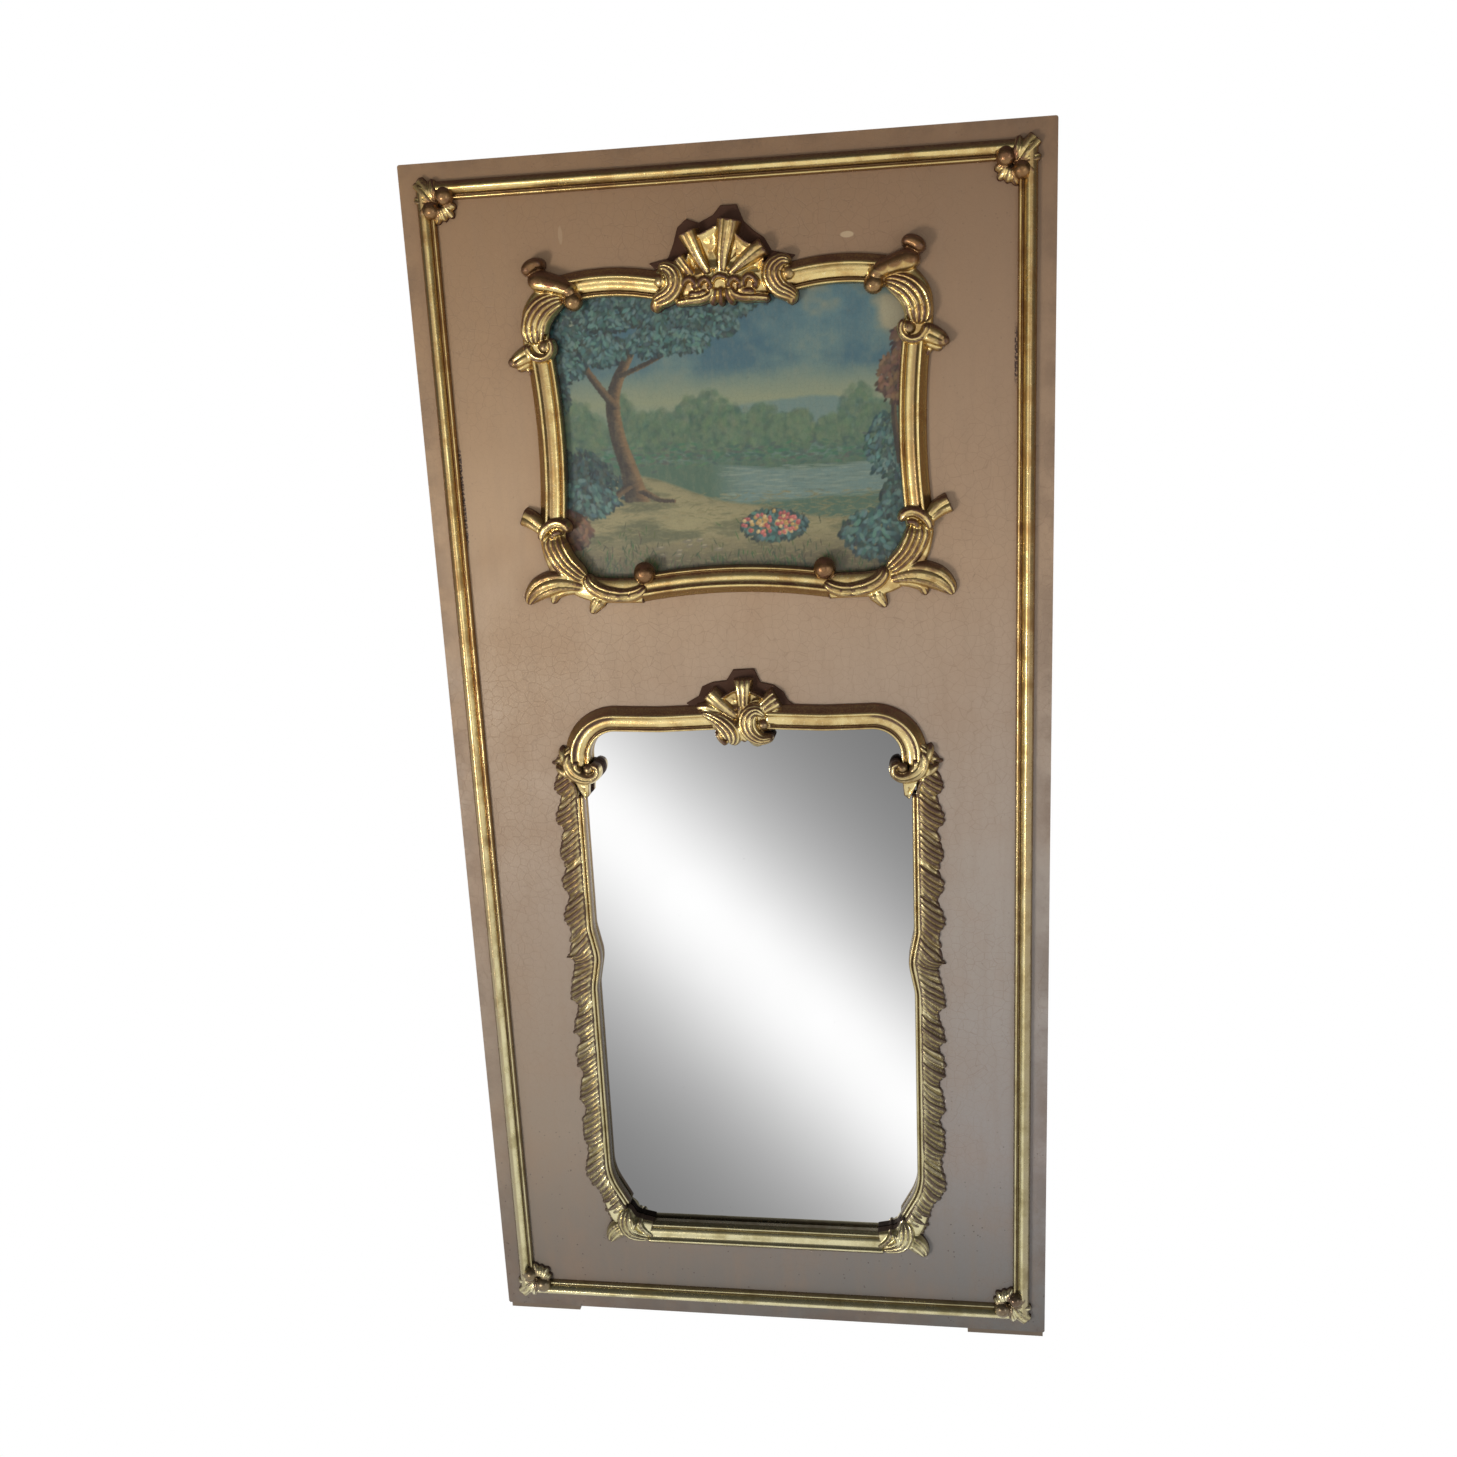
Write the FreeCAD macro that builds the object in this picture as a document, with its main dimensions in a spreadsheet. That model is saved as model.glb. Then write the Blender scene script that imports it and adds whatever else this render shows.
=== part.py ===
# Trumeau mirror: a tall painted panel with a painted picture above a looking glass.
#
# Frame: millimetres, +Z up, +X to the right as the front is seen.
# The origin is on the floor, below the middle of the front face of the painted panel.
# The front face is the plane Y = 0, carvings stand towards -Y and the back is towards +Y.
import FreeCAD
import Part
import Sketcher
import math
import os

V = FreeCAD.Vector
FRONT = V(0, -1, 0)
SIDES = {"left": -1, "right": 1}
CRUMB = 20.0  # mm3: a sliver this small, left where a carving is coped, is dropped

os.makedirs("parts", exist_ok=True)
doc = FreeCAD.newDocument("TrumeauMirror")

# ---------------------------------------------------------------- driving sizes

SIZES = [
    ("panel_width", 830, "painted front, edge to edge"),
    ("panel_height", 1687, "painted front, bottom edge to top edge"),
    ("foot_height", 13, "stile ends that stand below the painted front"),
    ("panel_thickness", 8, "boards of the painted front"),
    ("panel_round", 3, "worn outer corners of the painted front"),
    ("tongue_length", 10, "tongues of the front's cross boards"),
    ("tongue_thickness", 3, "thickness of those tongues"),
    ("tongue_inset", 12, "bare shoulder above and below a tongue"),
    ("joint_clearance", 0.1, "room in every groove, mortise and bored hole"),
    ("carcass_inset", 2, "back frame, in from the edge of the painted front"),
    ("stile_width", 111, "uprights of the back frame"),
    ("stile_thickness", 20, "thickness of the uprights"),
    ("rail_thickness", 14, "thickness of the cross rails"),
    ("rail_gap", 4, "between a rail and the batten next to it"),
    ("bottom_rail_lift", 12, "bottom rail above the lower edge of the front"),
    ("tenon_length", 60, "tenons of the cross rails"),
    ("tenon_thickness", 6, "thickness of those tenons"),
    ("tenon_shoulder", 12, "shoulder above and below a tenon"),
    ("peg_diameter", 8, "oak pegs through the tenons"),
    ("peg_inset", 4, "end of a peg behind the painted front"),
    ("mirror_sight_width", 460, "looking glass between its beads"),
    ("mirror_sight_low", 172, "lowest visible glass above the floor"),
    ("mirror_sight_high", 946, "highest visible glass above the floor"),
    ("picture_sight_width", 452, "painted picture, widest between its mouldings"),
    ("picture_sight_low", 1163, "lowest visible paint above the floor"),
    ("picture_sight_high", 1519, "highest visible paint above the floor"),
    ("picture_waist", 6, "inward bow of the picture's side mouldings"),
    ("picture_rise", 10, "upward bow of the picture's bottom moulding"),
    ("opening_lap", 8, "cut-out in the front beyond the visible edge"),
    ("sheet_lap", 12, "glass or picture board beyond the cut-out"),
    ("sheet_gap", 1, "between a sheet and the battens round it"),
    ("sheet_thickness", 4, "looking glass, picture board and battens"),
    ("batten_width", 16, "battens round the glass and the picture board"),
    ("back_board_thickness", 6, "thin boards that close the back"),
    ("screw_diameter", 3, "screws of the back boards"),
    ("screw_head_diameter", 6.4, "heads of those screws"),
    ("screw_head_height", 1.8, "height of those heads"),
    ("screw_bite", 3.5, "depth of those screws in the battens"),
    ("border_margin", 23, "bare paint outside the gilt border"),
    ("border_width", 24, "gilt border moulding"),
    ("border_relief", 13, "height of the border moulding"),
    ("frame_width", 36, "gilt mouldings round picture and glass"),
    ("frame_relief", 16, "height of those mouldings"),
    ("lip_width", 4, "lip of a moulding that reaches in to the sheet"),
    ("lip_clearance", 0.3, "between that lip and the sheet"),
    ("picture_corner_radius", 45, "middle line of the moulding at a picture corner"),
    ("mirror_corner_radius", 55, "middle line of the moulding at a mirror corner"),
    ("mirror_shoulder", 14, "top moulding's ends reach in over the glass"),
    ("crest_half_width", 90, "half of the picture's crest along its moulding"),
    ("mirror_crest_half_width", 46, "half of the mirror's crest along its moulding"),
    ("corner_run", 58, "corner carving along the mouldings of the picture"),
    ("bottom_corner_run", 116, "lower corner carving along the bottom moulding"),
    ("corner_setback", 6, "plain moulding under that carving, short of its ball"),
    ("bead_width", 11, "double bead down each side of the glass"),
    ("bead_relief", 8, "height of that bead"),
    ("bead_swell", 9, "swell of the bead halfway up the glass"),
    ("leaf_reach", 33, "leaf border beyond its bead"),
    ("leaf_relief", 13, "height of the leaf border"),
    ("leaf_count", 13, "leaves down each side"),
    ("berry_radius", 12, "larger berry of a corner spray"),
    ("spray_relief", 20, "height of a corner spray"),
    ("carving_relief", 22, "height of the scrolls and leaves"),
    ("crest_relief", 27, "height of the shells"),
    ("strap_width", 14, "hanger straps"),
    ("strap_thickness", 1.2, "metal of the hanger straps"),
    ("strap_length", 58, "hanger strap below its ring"),
    ("strap_drop", 34, "ring's pivot below the top of the back frame"),
    ("strap_spacing", 420, "between the two hanger straps"),
    ("strap_screw_pitch", 14, "between the screws of a strap"),
    ("strap_screw_edge", 8, "lowest strap screw from the strap's end"),
    ("strap_screw_diameter", 3.5, "screws of the hanger straps"),
    ("strap_screw_head", 7, "heads of those screws"),
    ("strap_screw_length", 11, "depth of those screws in the rail"),
    ("ring_wire", 3, "wire of the hanger rings"),
    ("ring_inner_width", 24, "inside of a ring across its straight bar"),
    ("ring_inner_length", 24, "inside of a ring from the bar to the bend"),
    ("ring_corner", 4, "bend at each end of a ring's bar, middle line"),
    ("pivot_clearance", 0.05, "radial room round a ring's bar"),
]

sheet = doc.addObject("Spreadsheet::Sheet", "Sizes")
for row, (alias, number, meaning) in enumerate(SIZES, start=1):
    sheet.set(f"A{row}", alias)
    sheet.set(f"B{row}", str(number))
    sheet.set(f"C{row}", meaning)
    sheet.setAlias(f"B{row}", alias)
doc.recompute()


def size(alias):
    """A driving size, read from the sheet."""
    return float(sheet.get(alias))


# ---------------------------------------------------------------- sketched boards

def new_body(label, depth):
    """An empty body that starts at the given depth behind the front face."""
    body = doc.addObject("PartDesign::Body", label)
    body.Label = label
    body.setExpression("Placement.Base.y", depth)
    return body


def new_sketch(body, name, depth="0"):
    """A sketch seen from the front, at the given depth inside its body."""
    sketch = body.newObject("Sketcher::SketchObject", name)
    plane = [part for part in body.Origin.OriginFeatures if part.Role == "XZ_Plane"][0]
    sketch.AttachmentSupport = [(plane, "")]
    sketch.MapMode = "FlatFace"
    sketch.setExpression("AttachmentOffset.Base.z", f"-({depth})")
    return sketch


def bind(sketch, constraint, expression):
    """Adds a dimension to a sketch and ties it to the sheet."""
    index = sketch.addConstraint(constraint)
    sketch.setExpression(f"Constraints[{index}]", expression)


def add_rectangle(sketch, left, right, low, high):
    """An upright rectangle whose four sides are expressions of the sheet."""
    first = sketch.GeometryCount
    corners = [V(-10, -10, 0), V(10, -10, 0), V(10, 10, 0), V(-10, 10, 0)]
    for number in range(4):
        sketch.addGeometry(Part.LineSegment(corners[number], corners[(number + 1) % 4]))
    for number in range(4):
        joined = first + (number + 1) % 4
        sketch.addConstraint(Sketcher.Constraint("Coincident", first + number, 2, joined, 1))
    sketch.addConstraint(Sketcher.Constraint("Horizontal", first))
    sketch.addConstraint(Sketcher.Constraint("Horizontal", first + 2))
    sketch.addConstraint(Sketcher.Constraint("Vertical", first + 1))
    sketch.addConstraint(Sketcher.Constraint("Vertical", first + 3))
    bind(sketch, Sketcher.Constraint("DistanceX", -1, 1, first, 1, -10.0), left)
    bind(sketch, Sketcher.Constraint("DistanceX", -1, 1, first, 2, 10.0), right)
    bind(sketch, Sketcher.Constraint("DistanceY", -1, 1, first, 1, -10.0), low)
    bind(sketch, Sketcher.Constraint("DistanceY", -1, 1, first + 2, 1, 10.0), high)


def add_circle(sketch, across, up, diameter):
    """A circle whose place and diameter are expressions of the sheet."""
    index = sketch.addGeometry(Part.Circle(V(5, 5, 0), V(0, 0, 1), 2))
    bind(sketch, Sketcher.Constraint("DistanceX", -1, 1, index, 3, 5.0), across)
    bind(sketch, Sketcher.Constraint("DistanceY", -1, 1, index, 3, 5.0), up)
    bind(sketch, Sketcher.Constraint("Diameter", index, 4.0), diameter)


def add_pad(body, sketch, thickness):
    """Pads a sketch away from the viewer."""
    pad = body.newObject("PartDesign::Pad", f"{sketch.Name}_pad")
    pad.Profile = sketch
    pad.Reversed = True
    pad.setExpression("Length", thickness)
    sketch.Visibility = False
    return pad


def add_pocket(body, sketch, depth):
    """Cuts a sketch away from the viewer and checks that it removes material."""
    doc.recompute()
    before = body.Shape.Volume
    pocket = body.newObject("PartDesign::Pocket", f"{sketch.Name}_cut")
    pocket.Profile = sketch
    pocket.setExpression("Length", depth)
    doc.recompute()
    if body.Shape.Volume >= before - 1e-6:
        raise ValueError(f"{pocket.Name} removes nothing")
    return pocket


def board(label, left, right, low, high, depth, thickness):
    """A plain board between four edges, at a depth behind the front face."""
    body = new_body(label, depth)
    outline = new_sketch(body, f"{label}_outline")
    add_rectangle(outline, left, right, low, high)
    add_pad(body, outline, thickness)
    return body


def mirrored(side, near, far):
    """Left and right edge of something at near to far from the middle line."""
    if SIDES[side] < 0:
        return f"-({far})", f"-({near})"
    return near, far


# Edges that several boards share, as expressions of the sheet.
SIGHT_WIDTH = "max(Sizes.mirror_sight_width; Sizes.picture_sight_width)"
OPENING = f"({SIGHT_WIDTH} / 2 + Sizes.opening_lap)"
PANEL_EDGE = "(Sizes.panel_width / 2)"
PANEL_LOW = "Sizes.foot_height"
PANEL_HIGH = "(Sizes.foot_height + Sizes.panel_height)"
MIRROR_LOW = "(Sizes.mirror_sight_low - Sizes.opening_lap)"
MIRROR_HIGH = "(Sizes.mirror_sight_high + Sizes.opening_lap)"
PICTURE_LOW = "(Sizes.picture_sight_low - Sizes.opening_lap)"
PICTURE_HIGH = "(Sizes.picture_sight_high + Sizes.opening_lap)"
SHEET_EDGE = f"({OPENING} + Sizes.sheet_lap)"
BATTEN_IN = f"({SHEET_EDGE} + Sizes.sheet_gap)"
BATTEN_OUT = f"({BATTEN_IN} + Sizes.batten_width)"
REACH = "(Sizes.sheet_lap + Sizes.sheet_gap + Sizes.batten_width)"
CARCASS_EDGE = f"({PANEL_EDGE} - Sizes.carcass_inset)"
CARCASS_HIGH = f"({PANEL_HIGH} - Sizes.carcass_inset)"
STILE_IN = f"({CARCASS_EDGE} - Sizes.stile_width)"
BEHIND_FRONT = "Sizes.panel_thickness"
BEHIND_SHEET = "(Sizes.panel_thickness + Sizes.sheet_thickness)"

FACING_RAILS = {
    "bottom": (PANEL_LOW, MIRROR_LOW),
    "middle": (MIRROR_HIGH, PICTURE_LOW),
    "top": (PICTURE_HIGH, PANEL_HIGH),
}
CARCASS_RAILS = {
    "bottom": (f"({PANEL_LOW} + Sizes.bottom_rail_lift)",
               f"({MIRROR_LOW} - {REACH} - Sizes.rail_gap)"),
    "middle": (f"({MIRROR_HIGH} + {REACH} + Sizes.rail_gap)",
               f"({PICTURE_LOW} - {REACH} - Sizes.rail_gap)"),
    "top": (f"({PICTURE_HIGH} + {REACH} + Sizes.rail_gap)", CARCASS_HIGH),
}


def round_outer_edges(body, side):
    """Rounds the two outer corners of an upright of the painted front."""
    doc.recompute()
    edge_x = SIDES[side] * size("panel_width") / 2
    names = []
    for number, edge in enumerate(body.Shape.Edges, start=1):
        middle = edge.CenterOfMass
        runs_back = abs(edge.BoundBox.YLength - size("panel_thickness")) < 0.01
        if runs_back and abs(middle.x - edge_x) < 0.01:
            names.append(f"Edge{number}")
    base = body.Tip
    fillet = body.newObject("PartDesign::Fillet", f"{body.Name}_round")
    fillet.Base = (base, names)
    fillet.setExpression("Radius", "Sizes.panel_round")


def facing_stile(side):
    """An outer upright of the painted front, grooved for the cross boards."""
    label = f"facing_stile_{side}"
    left, right = mirrored(side, OPENING, PANEL_EDGE)
    body = board(label, left, right, PANEL_LOW, PANEL_HIGH, "0", "Sizes.panel_thickness")
    round_outer_edges(body, side)
    room = "Sizes.joint_clearance"
    depth = f"(Sizes.panel_thickness - Sizes.tongue_thickness) / 2 - {room}"
    grooves = new_sketch(body, f"{label}_grooves", depth)
    floor_x = f"({OPENING} + Sizes.tongue_length + {room})"
    left, right = mirrored(side, OPENING, floor_x)
    for low, high in FACING_RAILS.values():
        low_end = f"{low} + Sizes.tongue_inset - {room}"
        high_end = f"{high} - Sizes.tongue_inset + {room}"
        add_rectangle(grooves, left, right, low_end, high_end)
    add_pocket(body, grooves, f"Sizes.tongue_thickness + 2 * {room}")


def facing_rail(name):
    """A cross board of the painted front, with a tongue at each end."""
    low, high = FACING_RAILS[name]
    label = f"facing_rail_{name}"
    body = board(label, f"-{OPENING}", OPENING, low, high, "0", "Sizes.panel_thickness")
    depth = "(Sizes.panel_thickness - Sizes.tongue_thickness) / 2"
    tongue = new_sketch(body, f"{label}_tongue", depth)
    tip = f"({OPENING} + Sizes.tongue_length)"
    low_end = f"{low} + Sizes.tongue_inset"
    high_end = f"{high} - Sizes.tongue_inset"
    add_rectangle(tongue, f"-{tip}", tip, low_end, high_end)
    add_pad(body, tongue, "Sizes.tongue_thickness")


def add_peg_holes(body, name, rails, sides):
    """Bores two peg holes through each tenon; their sketch also places the pegs."""
    sketch = new_sketch(body, name)
    for side in sides:
        sign = "-" if SIDES[side] < 0 else ""
        across = f"{sign}({STILE_IN} + Sizes.tenon_length / 2)"
        for rail in rails:
            low, high = CARCASS_RAILS[rail]
            for share in (0.3, 0.7):
                up = f"{low} + ({high} - {low}) * {share}"
                bore = "Sizes.peg_diameter + 2 * Sizes.joint_clearance"
                add_circle(sketch, across, up, bore)
    add_pocket(body, sketch, "Sizes.stile_thickness")
    return sketch


def carcass_stile(side):
    """An upright of the back frame, mortised; its lower end is a foot."""
    label = f"carcass_stile_{side}"
    left, right = mirrored(side, STILE_IN, CARCASS_EDGE)
    thickness = "Sizes.stile_thickness"
    body = board(label, left, right, "0", CARCASS_HIGH, BEHIND_FRONT, thickness)
    room = "Sizes.joint_clearance"
    depth = f"(Sizes.rail_thickness - Sizes.tenon_thickness) / 2 - {room}"
    mortises = new_sketch(body, f"{label}_mortises", depth)
    floor_x = f"({STILE_IN} + Sizes.tenon_length + {room})"
    left, right = mirrored(side, STILE_IN, floor_x)
    for low, high in CARCASS_RAILS.values():
        low_end = f"{low} + Sizes.tenon_shoulder - {room}"
        high_end = f"{high} - Sizes.tenon_shoulder + {room}"
        add_rectangle(mortises, left, right, low_end, high_end)
    add_pocket(body, mortises, f"Sizes.tenon_thickness + 2 * {room}")
    return add_peg_holes(body, f"{label}_peg_holes", CARCASS_RAILS, [side])


def hanger_places():
    """Centre and pivot height of each hanger strap, as expressions."""
    up = f"({CARCASS_HIGH} - Sizes.strap_drop)"
    return {side: (f"{SIDES[side]} * Sizes.strap_spacing / 2", up) for side in SIDES}


def strap_screw_heights():
    """Heights of a strap's two screws, as expressions."""
    up = f"({CARCASS_HIGH} - Sizes.strap_drop)"
    low = f"({up} - Sizes.strap_length + Sizes.strap_screw_edge)"
    return [low, f"({low} + Sizes.strap_screw_pitch)"]


def carcass_rail(name):
    """A cross rail of the back frame, with a pegged tenon at each end."""
    low, high = CARCASS_RAILS[name]
    label = f"carcass_rail_{name}"
    thickness = "Sizes.rail_thickness"
    body = board(label, f"-{STILE_IN}", STILE_IN, low, high, BEHIND_FRONT, thickness)
    depth = "(Sizes.rail_thickness - Sizes.tenon_thickness) / 2"
    tenon = new_sketch(body, f"{label}_tenon", depth)
    tip = f"({STILE_IN} + Sizes.tenon_length)"
    low_end = f"{low} + Sizes.tenon_shoulder"
    high_end = f"{high} - Sizes.tenon_shoulder"
    add_rectangle(tenon, f"-{tip}", tip, low_end, high_end)
    add_pad(body, tenon, "Sizes.tenon_thickness")
    add_peg_holes(body, f"{label}_peg_holes", [name], SIDES)
    if name != "top":
        return None
    depth = "Sizes.rail_thickness - Sizes.strap_screw_length"
    pilots = new_sketch(body, f"{label}_pilots", depth)
    for across, _ in hanger_places().values():
        for up in strap_screw_heights():
            bore = "Sizes.strap_screw_diameter + 2 * Sizes.joint_clearance"
            add_circle(pilots, across, up, bore)
    add_pocket(body, pilots, "Sizes.strap_screw_length")
    return pilots


def add_screw_holes(body, name, places, depth, length):
    """Bores a row of screw holes; their sketch also places the screws."""
    sketch = new_sketch(body, name, depth)
    for across, up in places:
        add_circle(sketch, across, up, "Sizes.screw_diameter + 2 * Sizes.joint_clearance")
    add_pocket(body, sketch, length)
    return sketch


def screw_rows(side, low, high, count):
    """Screw places up one side batten of a sheet, as expressions."""
    sign = "-" if SIDES[side] < 0 else ""
    across = f"{sign}({BATTEN_IN} + Sizes.batten_width / 2)"
    shares = [(number + 0.5) / count for number in range(count)]
    return [(across, f"{low} + ({high} - {low}) * {share}") for share in shares]


def sheet_and_battens(kind, sheet_label, low, high, count):
    """A glass or picture board, the four battens round it and their screw places."""
    thickness = "Sizes.sheet_thickness"
    sheet_low = f"({low} - Sizes.sheet_lap)"
    sheet_high = f"({high} + Sizes.sheet_lap)"
    board(sheet_label, f"-{SHEET_EDGE}", SHEET_EDGE, sheet_low, sheet_high,
          BEHIND_FRONT, thickness)
    batten_low = f"({sheet_low} - Sizes.sheet_gap)"
    batten_high = f"({sheet_high} + Sizes.sheet_gap)"
    outer_low = f"({batten_low} - Sizes.batten_width)"
    outer_high = f"({batten_high} + Sizes.batten_width)"
    board(f"{kind}_batten_top", f"-{BATTEN_OUT}", BATTEN_OUT, batten_high, outer_high,
          BEHIND_FRONT, thickness)
    board(f"{kind}_batten_bottom", f"-{BATTEN_OUT}", BATTEN_OUT, outer_low, batten_low,
          BEHIND_FRONT, thickness)
    places = {}
    for side in SIDES:
        left, right = mirrored(side, BATTEN_IN, BATTEN_OUT)
        body = board(f"{kind}_batten_{side}", left, right, batten_low, batten_high,
                     BEHIND_FRONT, thickness)
        places[side] = screw_rows(side, outer_low, outer_high, count)
        depth = "Sizes.sheet_thickness - Sizes.screw_bite"
        add_screw_holes(body, f"{kind}_pilots_{side}", places[side], depth, "Sizes.screw_bite")
    return outer_low, outer_high, places


def back_board(label, left, right, low, high, places):
    """A thin back board with a hole for each of its screws."""
    thickness = "Sizes.back_board_thickness"
    body = board(label, left, right, low, high, BEHIND_SHEET, thickness)
    return add_screw_holes(body, f"{label}_holes", places, "0", thickness)


# ---------------------------------------------------------------- pegs and screws

def hole_centres(sketch):
    """Centres of a sketch's circles, across and up."""
    return [(item.Center.x, item.Center.y) for item in sketch.Geometry]


def add_feature(label, shape, placement=FreeCAD.Placement()):
    """A finished piece whose shape was made with the functions below."""
    feature = doc.addObject("Part::Feature", label)
    feature.Label = label
    feature.Shape = shape
    feature.Placement = placement
    return feature


def fastener(place, shank, length, tip_depth, head=0.0, head_height=0.0):
    """A pin along Y from its tip's depth backwards, with a domed head if it has one."""
    across, up = place
    pin = Part.makeCylinder(shank / 2, length, V(across, tip_depth, up), V(0, 1, 0))
    if not head:
        return pin
    seat = V(across, tip_depth + length, up)
    flat = Part.makeCylinder(head / 2, head_height / 2, seat, V(0, 1, 0))
    dome_base = seat + V(0, head_height / 2, 0)
    dome = Part.makeCone(head / 2, head / 4, head_height / 2, dome_base, V(0, 1, 0))
    return pin.fuse(flat).fuse(dome).removeSplitter()


def frame_pegs(sketches):
    """All pegs of the back frame, one separate solid each."""
    depth = size("panel_thickness") + size("peg_inset")
    length = size("stile_thickness") - size("peg_inset")
    places = [place for sketch in sketches for place in hole_centres(sketch)]
    pegs = [fastener(place, size("peg_diameter"), length, depth) for place in places]
    add_feature("frame_pegs", Part.makeCompound(pegs))


def back_screws(sketches):
    """All screws of the back boards, one separate solid each."""
    length = size("screw_bite") + size("back_board_thickness")
    depth = size("panel_thickness") + size("sheet_thickness") - size("screw_bite")
    head = size("screw_head_diameter")
    height = size("screw_head_height")
    places = [place for sketch in sketches for place in hole_centres(sketch)]
    screws = [fastener(place, size("screw_diameter"), length, depth, head, height)
              for place in places]
    add_feature("back_board_screws", Part.makeCompound(screws))


# ---------------------------------------------------------------- hangers

def pivot_height():
    """Height of the hanger rings' pivots above the floor."""
    top = size("foot_height") + size("panel_height") - size("carcass_inset")
    return top - size("strap_drop")


def pivot_depth():
    """Depth of those pivots: the strap's loop rolls up off the rail's back."""
    back = size("panel_thickness") + size("rail_thickness")
    return back + loop_radius()


def loop_radius():
    """Outer radius of a strap's rolled loop."""
    return size("ring_wire") / 2 + size("pivot_clearance") + size("strap_thickness")


def hanger_strap(side, screw_places):
    """A strap screwed to the top rail, rolled into a loop round the ring's bar."""
    across = SIDES[side] * size("strap_spacing") / 2
    back = size("panel_thickness") + size("rail_thickness")
    width = size("strap_width")
    left = across - width / 2
    plate = Part.makeBox(width, size("strap_thickness"), size("strap_length"),
                         V(left, back, pivot_height() - size("strap_length")))
    along = V(1, 0, 0)
    centre = V(left, pivot_depth(), pivot_height())
    strap = plate.fuse(Part.makeCylinder(loop_radius(), width, centre, along))
    bore = size("ring_wire") / 2 + size("pivot_clearance")
    strap = strap.cut(Part.makeCylinder(bore, width, centre, along))
    hole = size("strap_screw_diameter") / 2 + size("joint_clearance")
    for place_x, place_z in screw_places:
        if abs(place_x - across) < 1:
            start = V(place_x, back, place_z)
            drill = Part.makeCylinder(hole, size("strap_thickness"), start, V(0, 1, 0))
            strap = strap.cut(drill)
    add_feature(f"hanger_strap_{side}", strap.removeSplitter())


def hanger_screws(screw_places):
    """The four screws of the hanger straps."""
    length = size("strap_screw_length") + size("strap_thickness")
    back = size("panel_thickness") + size("rail_thickness")
    depth = back - size("strap_screw_length")
    head = size("strap_screw_head")
    screws = [fastener(place, size("strap_screw_diameter"), length, depth, head,
                       size("screw_head_height")) for place in screw_places]
    add_feature("hanger_screws", Part.makeCompound(screws))


def hanger_ring(side):
    """A closed wire ring: a straight bar in the strap's loop and a round bend below."""
    wire = size("ring_wire") / 2
    half = size("ring_inner_width") / 2 + wire
    low = -(2 * wire + size("ring_inner_length"))
    corner = size("ring_corner")
    path = [(0, 0, 0), (half, 0, corner), (half, low, half), (-half, low, half),
            (-half, 0, corner), (0, 0, 0)]
    ring = None
    for run in path_runs(path):
        if run[0] == "line":
            way = run[2] - run[1]
            piece = Part.makeCylinder(wire, way.Length, run[1], way)
        else:
            start, centre, turn, heading = run[1:]
            across_wire = V(math.cos(heading), 0, math.sin(heading))
            disc = Part.Face(Part.Wire(Part.makeCircle(wire, start, across_wire)))
            piece = disc.revolve(centre, FRONT, math.degrees(turn))
        ring = piece if ring is None else ring.fuse(piece)
    across = SIDES[side] * size("strap_spacing") / 2
    placement = FreeCAD.Placement(V(across, pivot_depth(), pivot_height()), FreeCAD.Rotation())
    add_feature(f"hanger_ring_{side}", ring.removeSplitter(), placement)


# ---------------------------------------------------------------- mouldings

def border_profile():
    """Half-round border moulding with a groove and a thin inner bead."""
    width = size("border_width")
    relief = size("border_relief")
    bead = width / 6
    body_end = width - 1.6 * bead
    return [
        ("line", (0, relief * 0.3)),
        ("arc", (body_end * 0.18, relief * 0.85), (body_end * 0.5, relief)),
        ("arc", (body_end * 0.82, relief * 0.82), (body_end, relief * 0.35)),
        ("line", (width - bead, relief * 0.35)),
        ("arc", (width - bead / 2, relief * 0.35 + bead / 2), (width, relief * 0.35)),
        ("line", (width, 0)),
    ]


def frame_profile():
    """Cartouche moulding from its outer edge: a shoulder, a hollow, a ridge, a bead
    and, at the inner edge, a lip that reaches in to the sheet behind."""
    width = size("frame_width")
    relief = size("frame_relief")
    lip = size("lip_width")
    reach = size("panel_thickness") - size("lip_clearance")
    return [
        ("line", (0, relief * 0.15)),
        ("arc", (width * 0.07, relief * 0.75), (width * 0.2, relief)),
        ("line", (width * 0.27, relief * 0.97)),
        ("arc", (width * 0.42, relief * 0.58), (width * 0.58, relief * 0.52)),
        ("arc", (width * 0.68, relief * 0.8), (width * 0.78, relief * 0.5)),
        ("line", (width * 0.82, relief * 0.35)),
        ("arc", (width * 0.9, relief * 0.58), (width - 0.5, relief * 0.3)),
        ("line", (width, relief * 0.1)),
        ("line", (width, -reach)),
        ("line", (width - lip, -reach)),
        ("line", (width - lip, 0)),
    ]


def bead_profile():
    """Double bead beside the glass, with the same lip."""
    width = size("bead_width")
    relief = size("bead_relief")
    lip = size("lip_width")
    reach = size("panel_thickness") - size("lip_clearance")
    return [
        ("line", (0, relief * 0.65)),
        ("arc", (width * 0.27, relief), (width * 0.54, relief * 0.65)),
        ("arc", (width * 0.77, relief * 0.85), (width, relief * 0.5)),
        ("line", (width, -reach)),
        ("line", (width - lip, -reach)),
        ("line", (width - lip, 0)),
    ]


def section_face(profile, width, start, heading):
    """A moulding's section standing across its path.

    The profile starts at the outer edge. The path runs along its middle, and the
    inner edge lies to the right of the heading as the front is seen.
    """
    inward = V(math.sin(heading), 0, -math.cos(heading))

    def place(point):
        across, out = point
        return start + inward * (across - width / 2) + FRONT * out

    edges = []
    last = (0, 0)
    for step in profile:
        if step[0] == "line":
            edges.append(Part.LineSegment(place(last), place(step[1])).toShape())
        else:
            edges.append(Part.Arc(place(last), place(step[1]), place(step[2])).toShape())
        last = step[-1]
    edges.append(Part.LineSegment(place(last), place((0, 0))).toShape())
    return Part.Face(Part.Wire(edges))


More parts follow.
